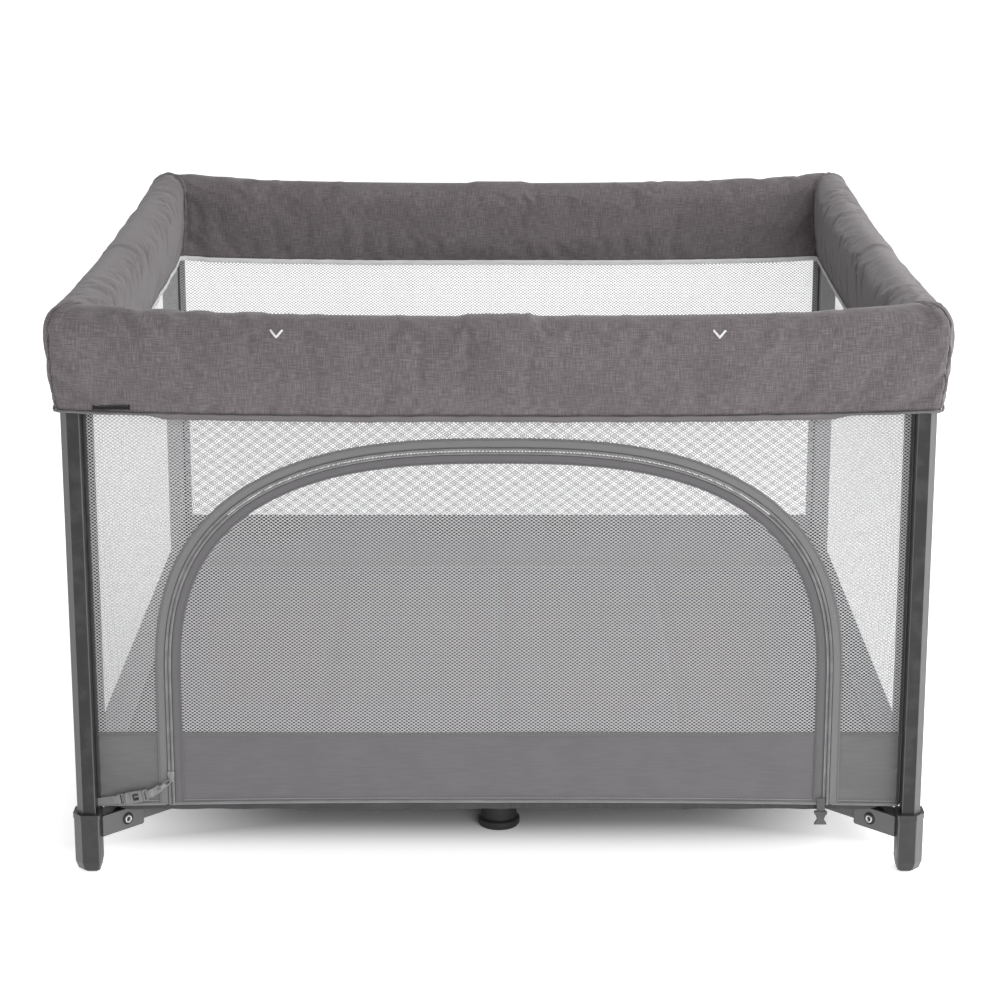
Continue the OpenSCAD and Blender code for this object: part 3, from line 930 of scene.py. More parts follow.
ring = sewn_skin()
ring_out = ring_normals(ring)
ring_run = np.concatenate(
    [[0], np.cumsum(np.linalg.norm(np.diff(ring[:, seam_row + 12], axis=0), axis=1))]
)
ring_height = np.concatenate([[0], np.cumsum(np.linalg.norm(np.diff(ring[200], axis=0), axis=1))])
straight_from = 2 * (len(ARC_STEPS) + TRANSITION - 1)
straight_to = side_columns - 2 * (len(ARC_STEPS) - 1 + TRANSITION - 1) - 2


def ring_slice(first, last):
    """Column numbers from first to last, round the closed ring."""
    return np.arange(first, last + 1) % ring.shape[0]


def padding_piece(columns):
    """One closed piece of the padding with its bindings, hems and stitches."""
    shape = Shape()
    skin = ring[columns]
    run = ring_run[columns].copy()
    run[np.arange(len(run)) > np.argmax(run)] += ring_run[-1]
    closed = np.concatenate([skin, skin[:, :1]], 1)
    height = np.concatenate([ring_height, [ring_height[-1] + COARSE / 2]])
    cloth = np.stack(np.meshgrid(run, height, indexing="ij"), -1)
    shape.grid(closed, padding, cloth)
    for end in (skin[0], skin[-1]):
        loop = np.roll(end, -1, 0)
        quads = [[i, i + 1, ring_rows - 2 - (i + 1), ring_rows - 2 - i] for i in range(half_count - 1)]
        shape.add(loop, quads, padding, loop[:, [0, 2]] + loop[:, [1, 1]])
    for row, inner in ((seam_row, False), (ring_rows - seam_row, True)):
        edge_line = skin[:, row]
        out = unit(ring_out[columns, row] * (1, 1, 0))
        tall = np.where(inner | (np.abs(ring_x[columns]) < BINDING_END), BINDING_H, 3.2 * MM)
        tall = np.convolve(np.pad(tall, 2, "edge"), np.ones(5) / 5, "valid")
        wave = 0.5 * MM * wander(edge_line * 45, 2.2)
        centre = edge_line + out * (0.3 * MM + wave[:, None])
        centre = centre - np.stack([0 * tall, 0 * tall, 4.5 * MM + tall / 2 - 2 * MM], 1)
        profile = rounded_bar(2.4 * MM, BINDING_H, 1.1 * MM, 2)
        sweep(shape, centre, out, profile, selvedge if inner else binding, tall / BINDING_H)
        seam_line = edge_line + out * 0.9 * MM - (0, 0, 1.6 * MM)
        stitch_row(shape, seam_line, (0, 0, 1), 3.2 * MM, 2.3 * MM, 0.55 * MM, dark_thread)
        if not inner:
            low_line = centre + out * 1.3 * MM - np.stack([0 * tall, 0 * tall, tall / 2 - 1.6 * MM], 1)
            stitch_row(shape, low_line, (0, 0, 1), 3.4 * MM, 2.4 * MM, 0.4 * MM, grey_thread)
    return shape


def skin_place(side, x, z):
    """A point on the padding's outer face and its normal, at a place along a side and a height."""
    corner = 2 * len(ARC_STEPS)
    columns = np.arange(side * side_columns + corner, (side + 1) * side_columns - corner)
    column = columns[np.argmin(np.abs(ring[columns, seam_row, 0] - x))]
    rows = np.arange(seam_row, half_count)
    row = rows[np.argmin(np.abs(ring[column, rows, 2] - z))]
    return ring[column, row], ring_out[column, row]


def mitre_seam(shape, column):
    """Dark seam cord and overlock stitches down a corner's mitre, outside and inside."""
    lap = 3
    outside = np.arange(seam_row + 2, half_count + lap)
    inside = np.arange(half_count - lap, ring_rows - seam_row - 1)
    for rows in (outside, inside):
        out = ring_out[column, rows]
        line = ring[column, rows] - out * 0.1 * MM
        sweep(shape, line, out, round_bar(0.75 * MM, 6), dark_thread)
    rows = np.arange(seam_row + 2, half_count)
    line = ring[column, rows] + ring_out[column, rows] * 0.8 * MM
    spots = resampled(line, 3.4 * MM)
    facing = unit(np.array([spots[:, 0], spots[:, 1], 0 * spots[:, 0]]).T)
    stitches(shape, spots, np.cross(facing, (0, 0, 1.0)), facing, 3.4 * MM, 0.35 * MM, grey_thread)


CHEVRON_X = (-271 * MM, 269 * MM)
CHEVRON_Z = 713 * MM


def chevron(shape, x, z):
    """A small white embroidered V on the front of the padding."""
    width, height = 14 * MM, 7.5 * MM
    arms = [(-width / 2, height / 2), (0, -height / 2), (width / 2, height / 2)]
    for a, b in zip(arms, arms[1:]):
        spots = []
        for t in np.linspace(0, 1, 12):
            du, dz = a[0] + (b[0] - a[0]) * t, a[1] + (b[1] - a[1]) * t
            skin_y = skin_place(0, x + du, z + dz)[0][1]
            spots.append((x + du, skin_y - 0.35 * MM, z + dz))
        spots = np.array(spots)
        along = unit(spots[-1] - spots[0])
        for lane in (-0.55, 0.55):
            side = np.array([-along[2], 0, along[0]]) * lane * MM
            stitch_row(shape, spots + side, (0, -1, 0), 1.5 * MM, 2.2 * MM, 0.75 * MM, white_thread, 0.5)


def woven_label(shape):
    """The small dark loop label that is sewn in above the binding."""
    x_from, x_to = -499 * MM, -453 * MM
    z = float(pad_seam_at(x_from)) + 5 * MM
    xs = np.linspace(x_from, x_to, 16)
    line = [(x, skin_place(0, x, z)[0][1] - 1.6 * MM, z + 2 * MM) for x in xs]
    sweep(shape, line, (0, -1, 0), rounded_bar(1.4 * MM, 6.5 * MM, 0.6 * MM, 2), label_cloth)
    inner = np.array(line)[1:-1] - (0, 0.75 * MM, 0)
    for lift in (-2.4 * MM, 2.4 * MM):
        stitch_row(shape, inner + (0, 0, lift), (0, -1, 0), 2.6 * MM, 1.7 * MM, 0.3 * MM, grey_thread)


# The foam's crush for when the rails fold down side by side: axis, anchor and share; place() does not apply
# it
PAD_SQUASH = ((0, 0, 1), (0, 0, RAIL_Z), 0.35)


def make_padding():
    for side in range(4):
        first = side * side_columns
        middle = first + (straight_from + straight_to) // 2
        cuts = ((first + straight_from, middle), (middle, first + straight_to))
        for half, (start, end) in enumerate(cuts):
            name = HALVES[side][half]
            shape = padding_piece(ring_slice(start, end))
            if side == 0:
                chevron(shape, CHEVRON_X[half], CHEVRON_Z)
            obj = shape.build("padding_" + name)
            place(obj, "rail_" + name, "padding", PAD_SQUASH, ["pad_" + name])
        corner = CORNERS[side]
        before = first - side_columns + straight_to
        shape = padding_piece(ring_slice(before, first + straight_from))
        mitre_seam(shape, first)
        if side == 0:
            woven_label(shape)
        obj = shape.build("padding_corner_" + corner)
        place(obj, POST_BODIES[side], "padding", None, ["corner_pad_" + corner])


make_padding()

# ---------------------------------------------------------------- walls and door


def hem_at(x):
    """Height of the bottom hem along a wall: a shallow arch that drops to the posts."""
    return HEM_Z + 6 * MM - 5 * MM * np.clip(np.abs(x) / WALL_X, 0, 1) ** 2.5


def wall_ripple(x, z, seed):
    """How far the netting stands in or out of its plane."""
    places = np.stack([x * 5, z * 7, 0 * x + seed], -1)
    return 1.4 * MM * wander(places)


def skirt_ripple(x, z, seed, ends):
    """Level creases of a skirt, with short gathers at its sewn ends."""
    level = wander(np.stack([x * 5, z * 75, 0 * x + seed], -1))
    wide = wander(np.stack([x * 12, z * 24, 0 * x + seed + 7], -1))
    gather = wander(np.stack([0 * x, z * 170, 0 * x + seed + 3], -1))
    near = sum(np.exp(-np.abs(x - end) / (12 * MM)) for end in ends)
    return 0.7 * MM * level + 0.8 * MM * wide + 1.3 * MM * gather * near


def arch_line(grow=0.0, low_z=None, spacing=4 * MM):
    """Points along the arch in the front wall's plane, grown outwards by a distance."""
    low_z = hem_at(ARCH_X) if low_z is None else low_z
    angles = np.radians(np.linspace(180, 0, 241))
    x = ARCH_X * np.sign(np.cos(angles)) * np.abs(np.cos(angles)) ** (2 / ARCH_POWER)
    z = ARCH_LEG + (ARCH_TOP - ARCH_LEG) * np.abs(np.sin(angles)) ** (2 / ARCH_POWER)
    left = [(-ARCH_X, 0, h) for h in np.linspace(low_z, ARCH_LEG, 12)[:-1]]
    right = [(ARCH_X, 0, h) for h in np.linspace(ARCH_LEG, low_z, 12)[1:]]
    line = np.array(left + [(a, 0, b) for a, b in zip(x, z)] + right)
    line = resampled(line, spacing)
    along = tangents(line)
    outward = np.stack([-along[:, 2], 0 * along[:, 0], along[:, 0]], 1)
    return line + outward * grow, outward


def arch_height(x, grow):
    """Height of the grown arch over places along the front wall."""
    line, _ = arch_line(grow)
    upper = line[line[:, 2] > ARCH_LEG - 1 * MM]
    return np.interp(x, upper[:, 0], upper[:, 2])


def pinned_columns(low, high, edge, spacing):
    """Places from low to high, closer together near both ends."""
    count = max(4, int((high - low) / spacing))
    t = np.linspace(0, 1, count + 1)
    t = t + edge * np.sin(2 * math.pi * t) / (2 * math.pi) * -1
    return low + (high - low) * t


def cloth_panel(shape, xs, low, high, step, material, bend, seed):
    """A flat panel between two heights for each column, in a side's own frame."""
    low = np.broadcast_to(low, xs.shape)
    high = np.broadcast_to(high, xs.shape)
    rows = max(3, int(np.max(high - low) / step))
    t = np.linspace(0, 1, rows + 1)
    z = low[:, None] + (high - low)[:, None] * t
    x = np.repeat(xs[:, None], rows + 1, 1)
    y = WALL_Y + bend(x, z, seed)
    points = np.stack([x, y, z], -1)
    shape.grid(points, material, np.stack([x, z], -1))
    area = np.sum(np.diff(xs) * ((high - low)[:-1] + (high - low)[1:]) / 2)
    return float(area)


def net_top(x):
    return pad_seam_at(x) + 3 * MM


POST_SIDE = HALF - WALL_X
FOLDED_WALL = (2 * HALF * FOLDED_SHARE - 2 * POST_SIDE) / (2 * WALL_X)


def wall_squash(side):
    axis = (1, 0, 0) if side in (0, 2) else (0, 1, 0)
    anchor = (-WALL_X, -WALL_X, 0)
    return axis, anchor, FOLDED_WALL


WALL_BODIES = ("root", "post_front_right", "post_back_left", "root")
WIDE_REACH = WALL_X - 2.2 * MM
NARROW_REACH = WALL_X - 2.6 * MM
TAPE_X = WALL_X - 7.5 * MM
TAPE_OFFSET = 2.2 * MM
# The netting runs under the padding's seam by this much, and under the zip's tapes by this much
NET_LAP = 10 * MM
NET_STEP = 12 * MM
DOOR_RIPPLE = 4.0
STITCH_PITCH = 3.4 * MM
STITCH_L = 2.4 * MM


def both_faces(shape, line, proud, lift, thread, lanes=(0,), radius=0.4 * MM):
    """Rows of stitches that show on the front and on the back of a sewn edge."""
    for face in (-1, 1):
        for lane in lanes:
            row = line + (lane, face * proud, lift)
            stitch_row(shape, row, (0, face, 0), STITCH_PITCH, STITCH_L, radius, thread)


def hem_piece(shape, xs):
    """Piped hem with a row of stitches above it."""
    line = np.stack([xs, 0 * xs + WALL_Y, hem_at(xs)], 1)
    sweep(shape, line, (0, -1, 0), round_bar(2.3 * MM), piping)
    both_faces(shape, line, 1.0 * MM, 4.6 * MM, light_thread)


def skirt_seam(shape, xs):
    """Fold and stitches where the netting meets the skirt."""
    line = np.stack([xs, 0 * xs + WALL_Y, 0 * xs + SKIRT_Z], 1)
    sweep(shape, line, (0, -1, 0), rounded_bar(1.8 * MM, 5 * MM, 0.8 * MM, 2), side_skirt)
    both_faces(shape, line, 1.1 * MM, -1.2 * MM, grey_thread)


def end_tape(shape, x, reach, inwards):
    """Upright binding behind the netting's edge beside a post."""
    z = np.linspace(float(hem_at(reach)), float(net_top(reach)), 60)
    line = np.stack([0 * z + x, 0 * z + WALL_Y + inwards, z], 1)
    sweep(shape, line, (0, -1, 0), rounded_bar(2.0 * MM, 9 * MM, 0.9 * MM, 2), corner_tape)
    both_faces(shape, line, 1.15 * MM, 0, grey_thread, (-3 * MM, 3 * MM), 0.35 * MM)


def skirt_panel(name, side, body, low, high, columns, step, material, seed):
    """A skirt's sheet between its sewn ends; columns are how the mesh bunches there and its spacing."""
    shape = Shape()
    xs = pinned_columns(low, high, *columns)

    def ripple(x, z, wave_seed):
        return skirt_ripple(x, z, wave_seed, (low, high))

    cloth_panel(shape, xs, hem_at(xs), SKIRT_Z, step, material, ripple, seed)
    return place(shape.build("skirt_" + name, on_side(side)), body, "skirt", wall_squash(side))


def trim_piece(name, side, body, hem, seam, tapes=()):
    """Hem, seam and end tapes of one skirt; hem and seam are (from, to, points)."""
    shape = Shape()
    hem_piece(shape, np.linspace(*hem))
    skirt_seam(shape, np.linspace(*seam))
    for tape in tapes:
        end_tape(shape, *tape)
    return place(shape.build("trim_" + name, on_side(side)), body, "skirt", wall_squash(side))


def net_piece(shape, name, side, body, stands_for):
    """Builds and places a wall's netting, which stands for the wall's CAD panel."""
    return place(shape.build("net_" + name, on_side(side)), body, "netting", wall_squash(side), [stands_for])


def make_plain_wall(side):
    name, body = SIDES[side], WALL_BODIES[side]
    reach = WIDE_REACH if side == 2 else NARROW_REACH
    seed = 11.0 + 5 * side
    net = Shape()
    xs = np.linspace(-reach, reach, 120)
    cloth_panel(net, xs, SKIRT_Z, net_top(xs), NET_STEP, netting, wall_ripple, seed)
    net_obj = net_piece(net, name, side, body, "wall_" + name)
    skirt = skirt_panel(name, side, body, -reach, reach, (0.8, 6 * MM), 2.6 * MM, side_skirt, seed)
    tapes = [(x, reach, -TAPE_OFFSET) for x in (-TAPE_X, TAPE_X)]
    trim = trim_piece(name, side, body, (-reach, reach, 180), (-reach, reach, 120), tapes)


def over_arch(edge):
    """Places across the doorway, closer together at its steep sides."""
    return np.sin(np.linspace(-math.pi / 2, math.pi / 2, 150)) * edge


def front_panels():
    """Netting and skirts of the front wall outside the arch."""
    reach = WIDE_REACH
    edge = ARCH_X + NET_LAP
    net = Shape()
    area = 0.0
    for low, high in ((-reach, -edge), (edge, reach)):
        xs = np.linspace(low, high, 14)
        area += cloth_panel(net, xs, SKIRT_Z, net_top(xs), NET_STEP, netting, wall_ripple, DOOR_RIPPLE)
    xs = over_arch(edge)
    low = arch_height(xs, NET_LAP)
    high = np.maximum(net_top(xs), low)
    area += cloth_panel(net, xs, low, high, NET_STEP, netting, wall_ripple, DOOR_RIPPLE)
    net_obj = net_piece(net, "front", 0, "root", "wall_front")
    side_edge = ARCH_X + 8 * MM
    for tag, low, high, tape_x in (
        ("left", -reach, -side_edge, -TAPE_X),
        ("right", side_edge, reach, TAPE_X),
    ):
        name = "front_" + tag
        skirt = skirt_panel(name, 0, "root", low, high, (0.5, 3 * MM), 2.2 * MM, side_skirt, 2.0 + low)
        tape = (tape_x, reach, TAPE_OFFSET)
        trim = trim_piece(name, 0, "root", (low, high, 30), (low, high, 30), [tape])


TAPE_W = 15.5 * MM
COIL_GAP = 0.35 * MM
TOOTH_PITCH = 2.1 * MM


def zip_half(name, body, side_sign, tape_material):
    """Tape, stitches and coil of one half of the zip; side_sign is +1 outside the arch, -1 inside."""
    shape = Shape()
    low = float(hem_at(ARCH_X)) - 1 * MM
    tape_y = WALL_Y - 0.6 * MM
    front = (0, -1, 0)

    def beside(grow, y, spacing=4 * MM):
        """The arch at a distance from the teeth line and a depth, with its outward directions."""
        line, outward = arch_line(side_sign * grow, low, spacing)
        return line + (0, y, 0), outward

    middle = beside(1 * MM + TAPE_W / 2, tape_y)[0]
    sweep(shape, middle, front, rounded_bar(1.8 * MM, TAPE_W, 0.8 * MM, 2), tape_material)
    rows = ((4.6 * MM, dark_thread), (TAPE_W - 1.6 * MM, grey_thread))
    for grow, thread in rows:
        for face in (-1, 1):
            line = beside(grow, tape_y + face * 1.05 * MM)[0]
            stitch_row(shape, line, (0, face, 0), 3.2 * MM, STITCH_L, 0.45 * MM, thread)
    for grow, _ in rows:
        line = beside(grow + 0.9 * MM, WALL_Y - 1.5 * MM)[0]
        sweep(shape, line, front, rounded_bar(0.5 * MM, 1.0 * MM, 0.2 * MM, 1), tape_material)
    line, outward = beside(COIL_GAP + 1.25 * MM, WALL_Y - 2.1 * MM, TOOTH_PITCH)
    lean = unit(outward + 0.35 * tangents(line))
    stitches(shape, line, lean, front, 3.0 * MM, 0.85 * MM, coil_plastic)
    cord = beside(COIL_GAP + 2.6 * MM, WALL_Y - 2.0 * MM)[0]
    sweep(shape, cord, front, round_bar(0.8 * MM, 8), coil_plastic)
    place(shape.build(name, on_side(0)), body, "zip", wall_squash(0))


def make_door():
    """The zipped leaf: netting above a skirt, hinged along the hem."""
    edge = ARCH_X - NET_LAP
    hem_end = ARCH_X - 2 * MM
    net = Shape()
    xs = over_arch(edge)
    high = arch_height(xs, -NET_LAP)
    area = cloth_panel(net, xs, SKIRT_Z, high, NET_STEP, netting, wall_ripple, DOOR_RIPPLE)
    net_obj = net_piece(net, "door", 0, "door", "door")
    skirt = skirt_panel("door", 0, "door", -edge, edge, (0.7, 5 * MM), 2.4 * MM, door_skirt, 31.0)
    trim = trim_piece("door", 0, "door", (-hem_end, hem_end, 150), (-edge, edge, 120))


front_panels()
for plain_side in (1, 2, 3):
    make_plain_wall(plain_side)
make_door()
zip_half("zip_outer_half", "root", 1, outer_tape)
zip_half("zip_inner_half", "door", -1, inner_tape)

# ---------------------------------------------------------------- mat and floor sheet

MAT_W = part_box("mat_outer_right")[1].x - mat_low.x
MAT_R = 20 * MM
PANELS = ("mat_outer_left", "mat_inner_left", "mat_inner_right", "mat_outer_right")


def edge_places(low, high, spacing):
    """Places from low to high with three close ones inside each end."""
    near = np.array([0, 1.2, 3, 6, 11]) * MM
    inner = np.linspace(low + near[-1], high - near[-1], int((high - low) / spacing))
    return np.concatenate([low + near[:-1], inner, (high - near[:-1])[::-1]])


def mat_panel(name):
    """One padded panel: a crowned slab with quilting dents, a piped rim and stitches."""
    low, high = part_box(name)
    xs = edge_places(low.x, high.x, 11 * MM)
    ys = edge_places(low.y, high.y, 11 * MM)
    x, y = np.meshgrid(xs, ys, indexing="ij")
    gap = np.minimum(np.minimum(x - low.x, high.x - x), np.minimum(y - low.y, high.y - y))
    middle, thick = (low.z + high.z) / 2, high.z - low.z
    swell = np.sqrt(np.clip(1 - (1 - np.clip(gap / (9 * MM), 0, 1)) ** 2, 0, 1))
    places = np.stack([x * 16, y * 16, 0 * x + 3], -1)
    dent = 0.9 * MM * wander(places) * smooth_step(gap / (30 * MM))
    channel = 1.3 * MM * np.exp(-(((gap - 9 * MM) / (2.2 * MM)) ** 2))
    top = middle + (thick / 2 - 1.2 * MM) * swell + dent - channel * (gap > 2 * MM)
    under = middle - (thick / 2 - 0.2 * MM) * swell
    tops = np.stack([x, y, top], -1)
    unders = np.stack([x, y, under], -1)
    for points in (tops, unders):
        for sx, sy in ((-1, -1), (-1, 1), (1, -1), (1, 1)):
            cx, cy = sx * (MAT_W / 2 - MAT_R), sy * (MAT_W / 2 - MAT_R)
            px, py = (points[..., 0] - cx) * sx, (points[..., 1] - cy) * sy
            inside = (px > 0) & (py > 0)
            pull = np.maximum(px, py) / np.maximum(np.hypot(px, py), 1e-9)
            points[..., 0] = np.where(inside, cx + sx * px * pull, points[..., 0])
            points[..., 1] = np.where(inside, cy + sy * py * pull, points[..., 1])
    count = x.size
    faces = grid_faces(*x.shape).tolist()
    border = np.flatnonzero((gap < 0.1 * MM).ravel())
    back = np.arange(count) + count
    back[border] = border
    all_faces = faces + [[int(back[i]) for i in face][::-1] for face in faces]
    held = np.concatenate([np.flatnonzero((gap < 10 * MM).ravel()), np.arange(count) + count])
    points = np.concatenate([tops.reshape(-1, 3), unders.reshape(-1, 3)])
    sim = relaxed(points, all_faces, held, 0.02, 1.2)[:count].reshape(tops.shape)
    shift = np.clip(sim - tops, -1.0 * MM, 1.0 * MM)
    tops = tops + shift * smooth_step(gap / (20 * MM))[..., None]
    tops[..., 2] = np.minimum(tops[..., 2], high.z + 2 * MM)
    shape = Shape()
    cloth = np.stack([x, y], -1)
    shape.grid(tops, mat_cloth, cloth)
    shape.grid(unders[::-1], mat_cloth, cloth[::-1])
    rim = np.concatenate([tops[:-1, 0], tops[-1, :-1], tops[:0:-1, -1], tops[0, :0:-1]])
    rim = np.vstack([rim, rim[:1]])
    out = unit(np.cross(tangents(rim), (0, 0, 1.0)))
    inward = rim - out * 1.2 * MM
    sweep(shape, inward, out, round_bar(1.7 * MM, 8), mat_edge)
    lane = rim - out * 6.5 * MM
    lane[:, 2] = middle + (thick / 2 - 1.6 * MM) * 0.96
    stitch_row(shape, lane, (0, 0, 1), 4 * MM, 2.8 * MM, 0.4 * MM, grey_thread)
    obj = shape.build(name.replace("mat_", "mat_panel_"))
    place(obj, name, "mat", None, [name])


for panel in PANELS:
    mat_panel(panel)


def floor_quarter(corner):
    """One quarter of the floor sheet, slung on its floor arm."""
    shape = Shape()
    reach = sheet_high.x + 2 * MM
    # The corner cut off beside the post, the turned-up rim's height and the mesh's squares each way
    trim = 28 * MM
    rim = 15 * MM
    steps = 30
    points = []
    cloth = []
    z = (sheet_low.z + sheet_high.z) / 2
    for i in range(steps + 2):
        for j in range(steps + 2):
            u, v = reach * min(i, steps) / steps, reach * min(j, steps) / steps
            edge = rim if max(i, j) > steps else 0
            over = (u + v) - (2 * reach - trim)
            if over > 0:
                u, v = u - over / 2, v - over / 2
            droop = -0.6 * MM * (1 + math.sin(u * 90 + 3 * math.sin(v * 40)))
            points.append((-u, -v, z + droop + 0.6 * MM + edge))
            cloth.append((u, v))
    grid = np.array(points).reshape(steps + 2, steps + 2, 3)
    shape.grid(grid, floor_cloth, np.array(cloth).reshape(steps + 2, steps + 2, 2))
    turn = Matrix.Rotation(math.radians(90 * corner), 4, "Z")
    obj = shape.build("floor_sheet_" + CORNERS[corner], turn)
    axis = turn @ Vector((1, -1, 0)).normalized()
    stands_for = ["floor_sheet"] if corner == 0 else ()
    place(obj, "arm_" + CORNERS[corner], "skirt", (tuple(axis), (0, 0, z), 0.15), stands_for)


for quarter in range(4):
    floor_quarter(quarter)

# ---------------------------------------------------------------- tether, buckle and zip slider

STRAP_RISE = math.radians(9.6)
STRAP_Y = WALL_Y - HALF - 4.8 * MM
STRAP_Z = 88 * MM
TAIL_LIFT = 6.5 * MM
EYE_U = 81.5 * MM
EYE_W = 5.2 * MM


def on_strap():
    """Matrix of the tether's own frame: X along it from the post, Z across its width."""
    return Matrix.Translation((strap_low.x, STRAP_Y, STRAP_Z)) @ Matrix.Rotation(-STRAP_RISE, 4, "Y")


def strap_run(shape, u_from, u_to, width, y=0.0, thick=1.3 * MM, lift=0.0):
    """A stretch of webbing along the tether; lift is how far its end curves up."""
    u = np.linspace(u_from, u_to, max(6, int((u_to - u_from) / (2 * MM))))
    wave = 0.35 * MM * np.sin(u * 160)
    line = np.stack([u, y + wave, lift * ((u - u_from) / (u_to - u_from)) ** 1.6], 1)
    sweep(shape, line, (0, -1, 0), rounded_bar(thick, width, 0.45 * MM, 2), webbing)


def plate(shape, outline, y_front, y_back, soft, material):
    """A flat moulding from an outline of (x, z) points, with softened front and back edges."""
    outline = np.asarray(outline, float)
    centre = outline.mean(0)
    pull = unit(centre - outline) * soft
    depth = y_back - y_front
    layers = [
        (y_front, outline + pull),
        (y_front + 0.35 * min(soft, depth / 2), outline + pull * 0.35),
        (y_front + min(soft, depth / 2), outline),
        (y_back - min(soft, depth / 2), outline),
        (y_back, outline + pull),
    ]
    points = np.array([[(p[0], y, p[1]) for p in ring_of] for y, ring_of in layers])
    count = len(outline)
    start = shape.count
    shape.grid(points, material, np.stack([points[..., 0], points[..., 2]], -1), wrap_columns=True)
    shape.faces.append([start + i for i in range(count)][::-1])
    shape.faces.append([start + (len(layers) - 1) * count + i for i in range(count)])
    shape.slots += [shape.materials.index(material)] * 2
    return shape


def frame_plate(shape, outer, inner, y_front, y_back, material):
    """A flat frame: an outline with a hole of the same number of points."""
    outer, inner = np.asarray(outer, float), np.asarray(inner, float)
    soft = 0.35 * MM
    grow = unit(outer - outer.mean(0)) * soft
    shrink = unit(inner - inner.mean(0)) * soft
    loops = [
        (y_front, outer - grow), (y_front + soft, outer), (y_back - soft, outer), (y_back, outer - grow),
        (y_back, inner + shrink), (y_back - soft, inner), (y_front + soft, inner), (y_front, inner + shrink),
    ]
    points = np.array([[(p[0], y, p[1]) for p in ring_of] for y, ring_of in loops])
    cloth = np.stack([points[..., 0], points[..., 2]], -1)
    return shape.grid(points, material, cloth, wrap_rows=True, wrap_columns=True)


def rounded_box(x0, x1, z0, z1, radius, steps=4):
    """Outline of a rectangle with round corners."""
    points = []
    for turn_at, (cx, cz) in enumerate(((x1, z1), (x0, z1), (x0, z0), (x1, z0))):
        sx, sz = (-1 if cx == x1 else 1), (-1 if cz == z1 else 1)
        for i in range(steps + 1):
            angle = math.radians(90 * turn_at + 90 * i / steps)
            x, z = radius * math.cos(angle), radius * math.sin(angle)
            points.append((cx + sx * radius + x, cz + sz * radius + z))
    return points


def tri_glide(shape, u, width):
    """Adjuster: a frame with a middle bar that the webbing threads through."""
    for low, high in ((u + 1.6 * MM, u + 3.9 * MM), (u + 5.3 * MM, u + 7.6 * MM)):
        inner = rounded_box(low, high, -width / 2 + 1.7 * MM, width / 2 - 1.7 * MM, 0.6 * MM)
        edge = rounded_box(low - 1.6 * MM, high + 1.4 * MM, -width / 2, width / 2, 1.2 * MM)
        frame_plate(shape, edge, inner, -2.6 * MM, -1.0 * MM, buckle_plastic)


def make_tether():
    """Webbing from the post, its adjuster and the socket half of the buckle."""
    shape = Shape()
    strap_run(shape, 0, 40 * MM, 11 * MM)
    strap_run(shape, 20 * MM, 33 * MM, 11 * MM, -1.5 * MM)
    tri_glide(shape, 27 * MM, 14.5 * MM)
    width = 16 * MM
    body = rounded_box(37 * MM, 59.5 * MM, -width / 2, width / 2, 2.4 * MM)
    side_hole = rounded_box(46.5 * MM, 54 * MM, -4.6 * MM, 4.6 * MM, 1.5 * MM)
    frame_plate(shape, body, side_hole, -3.4 * MM, 2.6 * MM, buckle_plastic)
    for low, high in ((36.5, 39.5), (43.5, 45.8), (54.6, 56.4)):
        bar = rounded_box(low * MM, high * MM, -width / 2 + 0.8 * MM, width / 2 - 0.8 * MM, 0.9 * MM)
        plate(shape, bar, -3.9 * MM, -2.0 * MM, 0.5 * MM, buckle_plastic)
    obj = shape.build("tether_socket", on_strap(), 40, True)
    place(obj, "root", "webbing", wall_squash(0), ["strap_buckle"])


def make_tongue():
    """Prongs, bar and webbing tail of the buckle's tongue, with the ring that holds the slider."""
    shape = Shape()
    for sign in (-1, 1):
        prong = [(60, 2.2), (60, 6.2), (55.5, 7.9), (51.5, 7.6)]
        prong += [(49, 5.4), (50.6, 4.2), (53.5, 5.2), (56.5, 4.2)]
        outline = [(u * MM, sign * w * MM) for u, w in prong]
        plate(shape, outline[::sign], -1.5 * MM, 1.1 * MM, 0.4 * MM, buckle_plastic)
    guide = rounded_box(47.5 * MM, 60.5 * MM, -1.3 * MM, 1.3 * MM, 0.9 * MM)
    plate(shape, guide, -1.3 * MM, 1.0 * MM, 0.4 * MM, buckle_plastic)
    bar = rounded_box(59.8 * MM, 66.4 * MM, -8 * MM, 8 * MM, 1.8 * MM)
    slot = rounded_box(62.3 * MM, 64.4 * MM, -5.8 * MM, 5.8 * MM, 0.7 * MM)
    frame_plate(shape, bar, slot, -2.8 * MM, 2.2 * MM, buckle_plastic)
    strap_run(shape, 63.2 * MM, 84.4 * MM, 10.5 * MM, -0.9 * MM, lift=TAIL_LIFT)
    strap_run(shape, 63.2 * MM, 73.5 * MM, 10.5 * MM, 0.7 * MM, lift=1.4 * MM)
    for u, low in ((71.4 * MM, 1.0 * MM), (73.4 * MM, 1.4 * MM)):
        seam = np.stack([np.full(8, u), np.full(8, -1.75 * MM), low + np.linspace(-4.4, 4.4, 8) * MM], 1)
        stitch_row(shape, seam, (0, -1, 0), 1.8 * MM, 1.5 * MM, 0.35 * MM, light_thread)
    plate(shape, circle(EYE_U, EYE_W, 1.3 * MM, 14), -1.9 * MM, -1.5 * MM, 0.1 * MM, black_plastic)
    obj = shape.build("tether_tongue", on_strap(), 40, True)
    place(obj, "buckle_tongue", "webbing", wall_squash(0), ["buckle_tongue"])


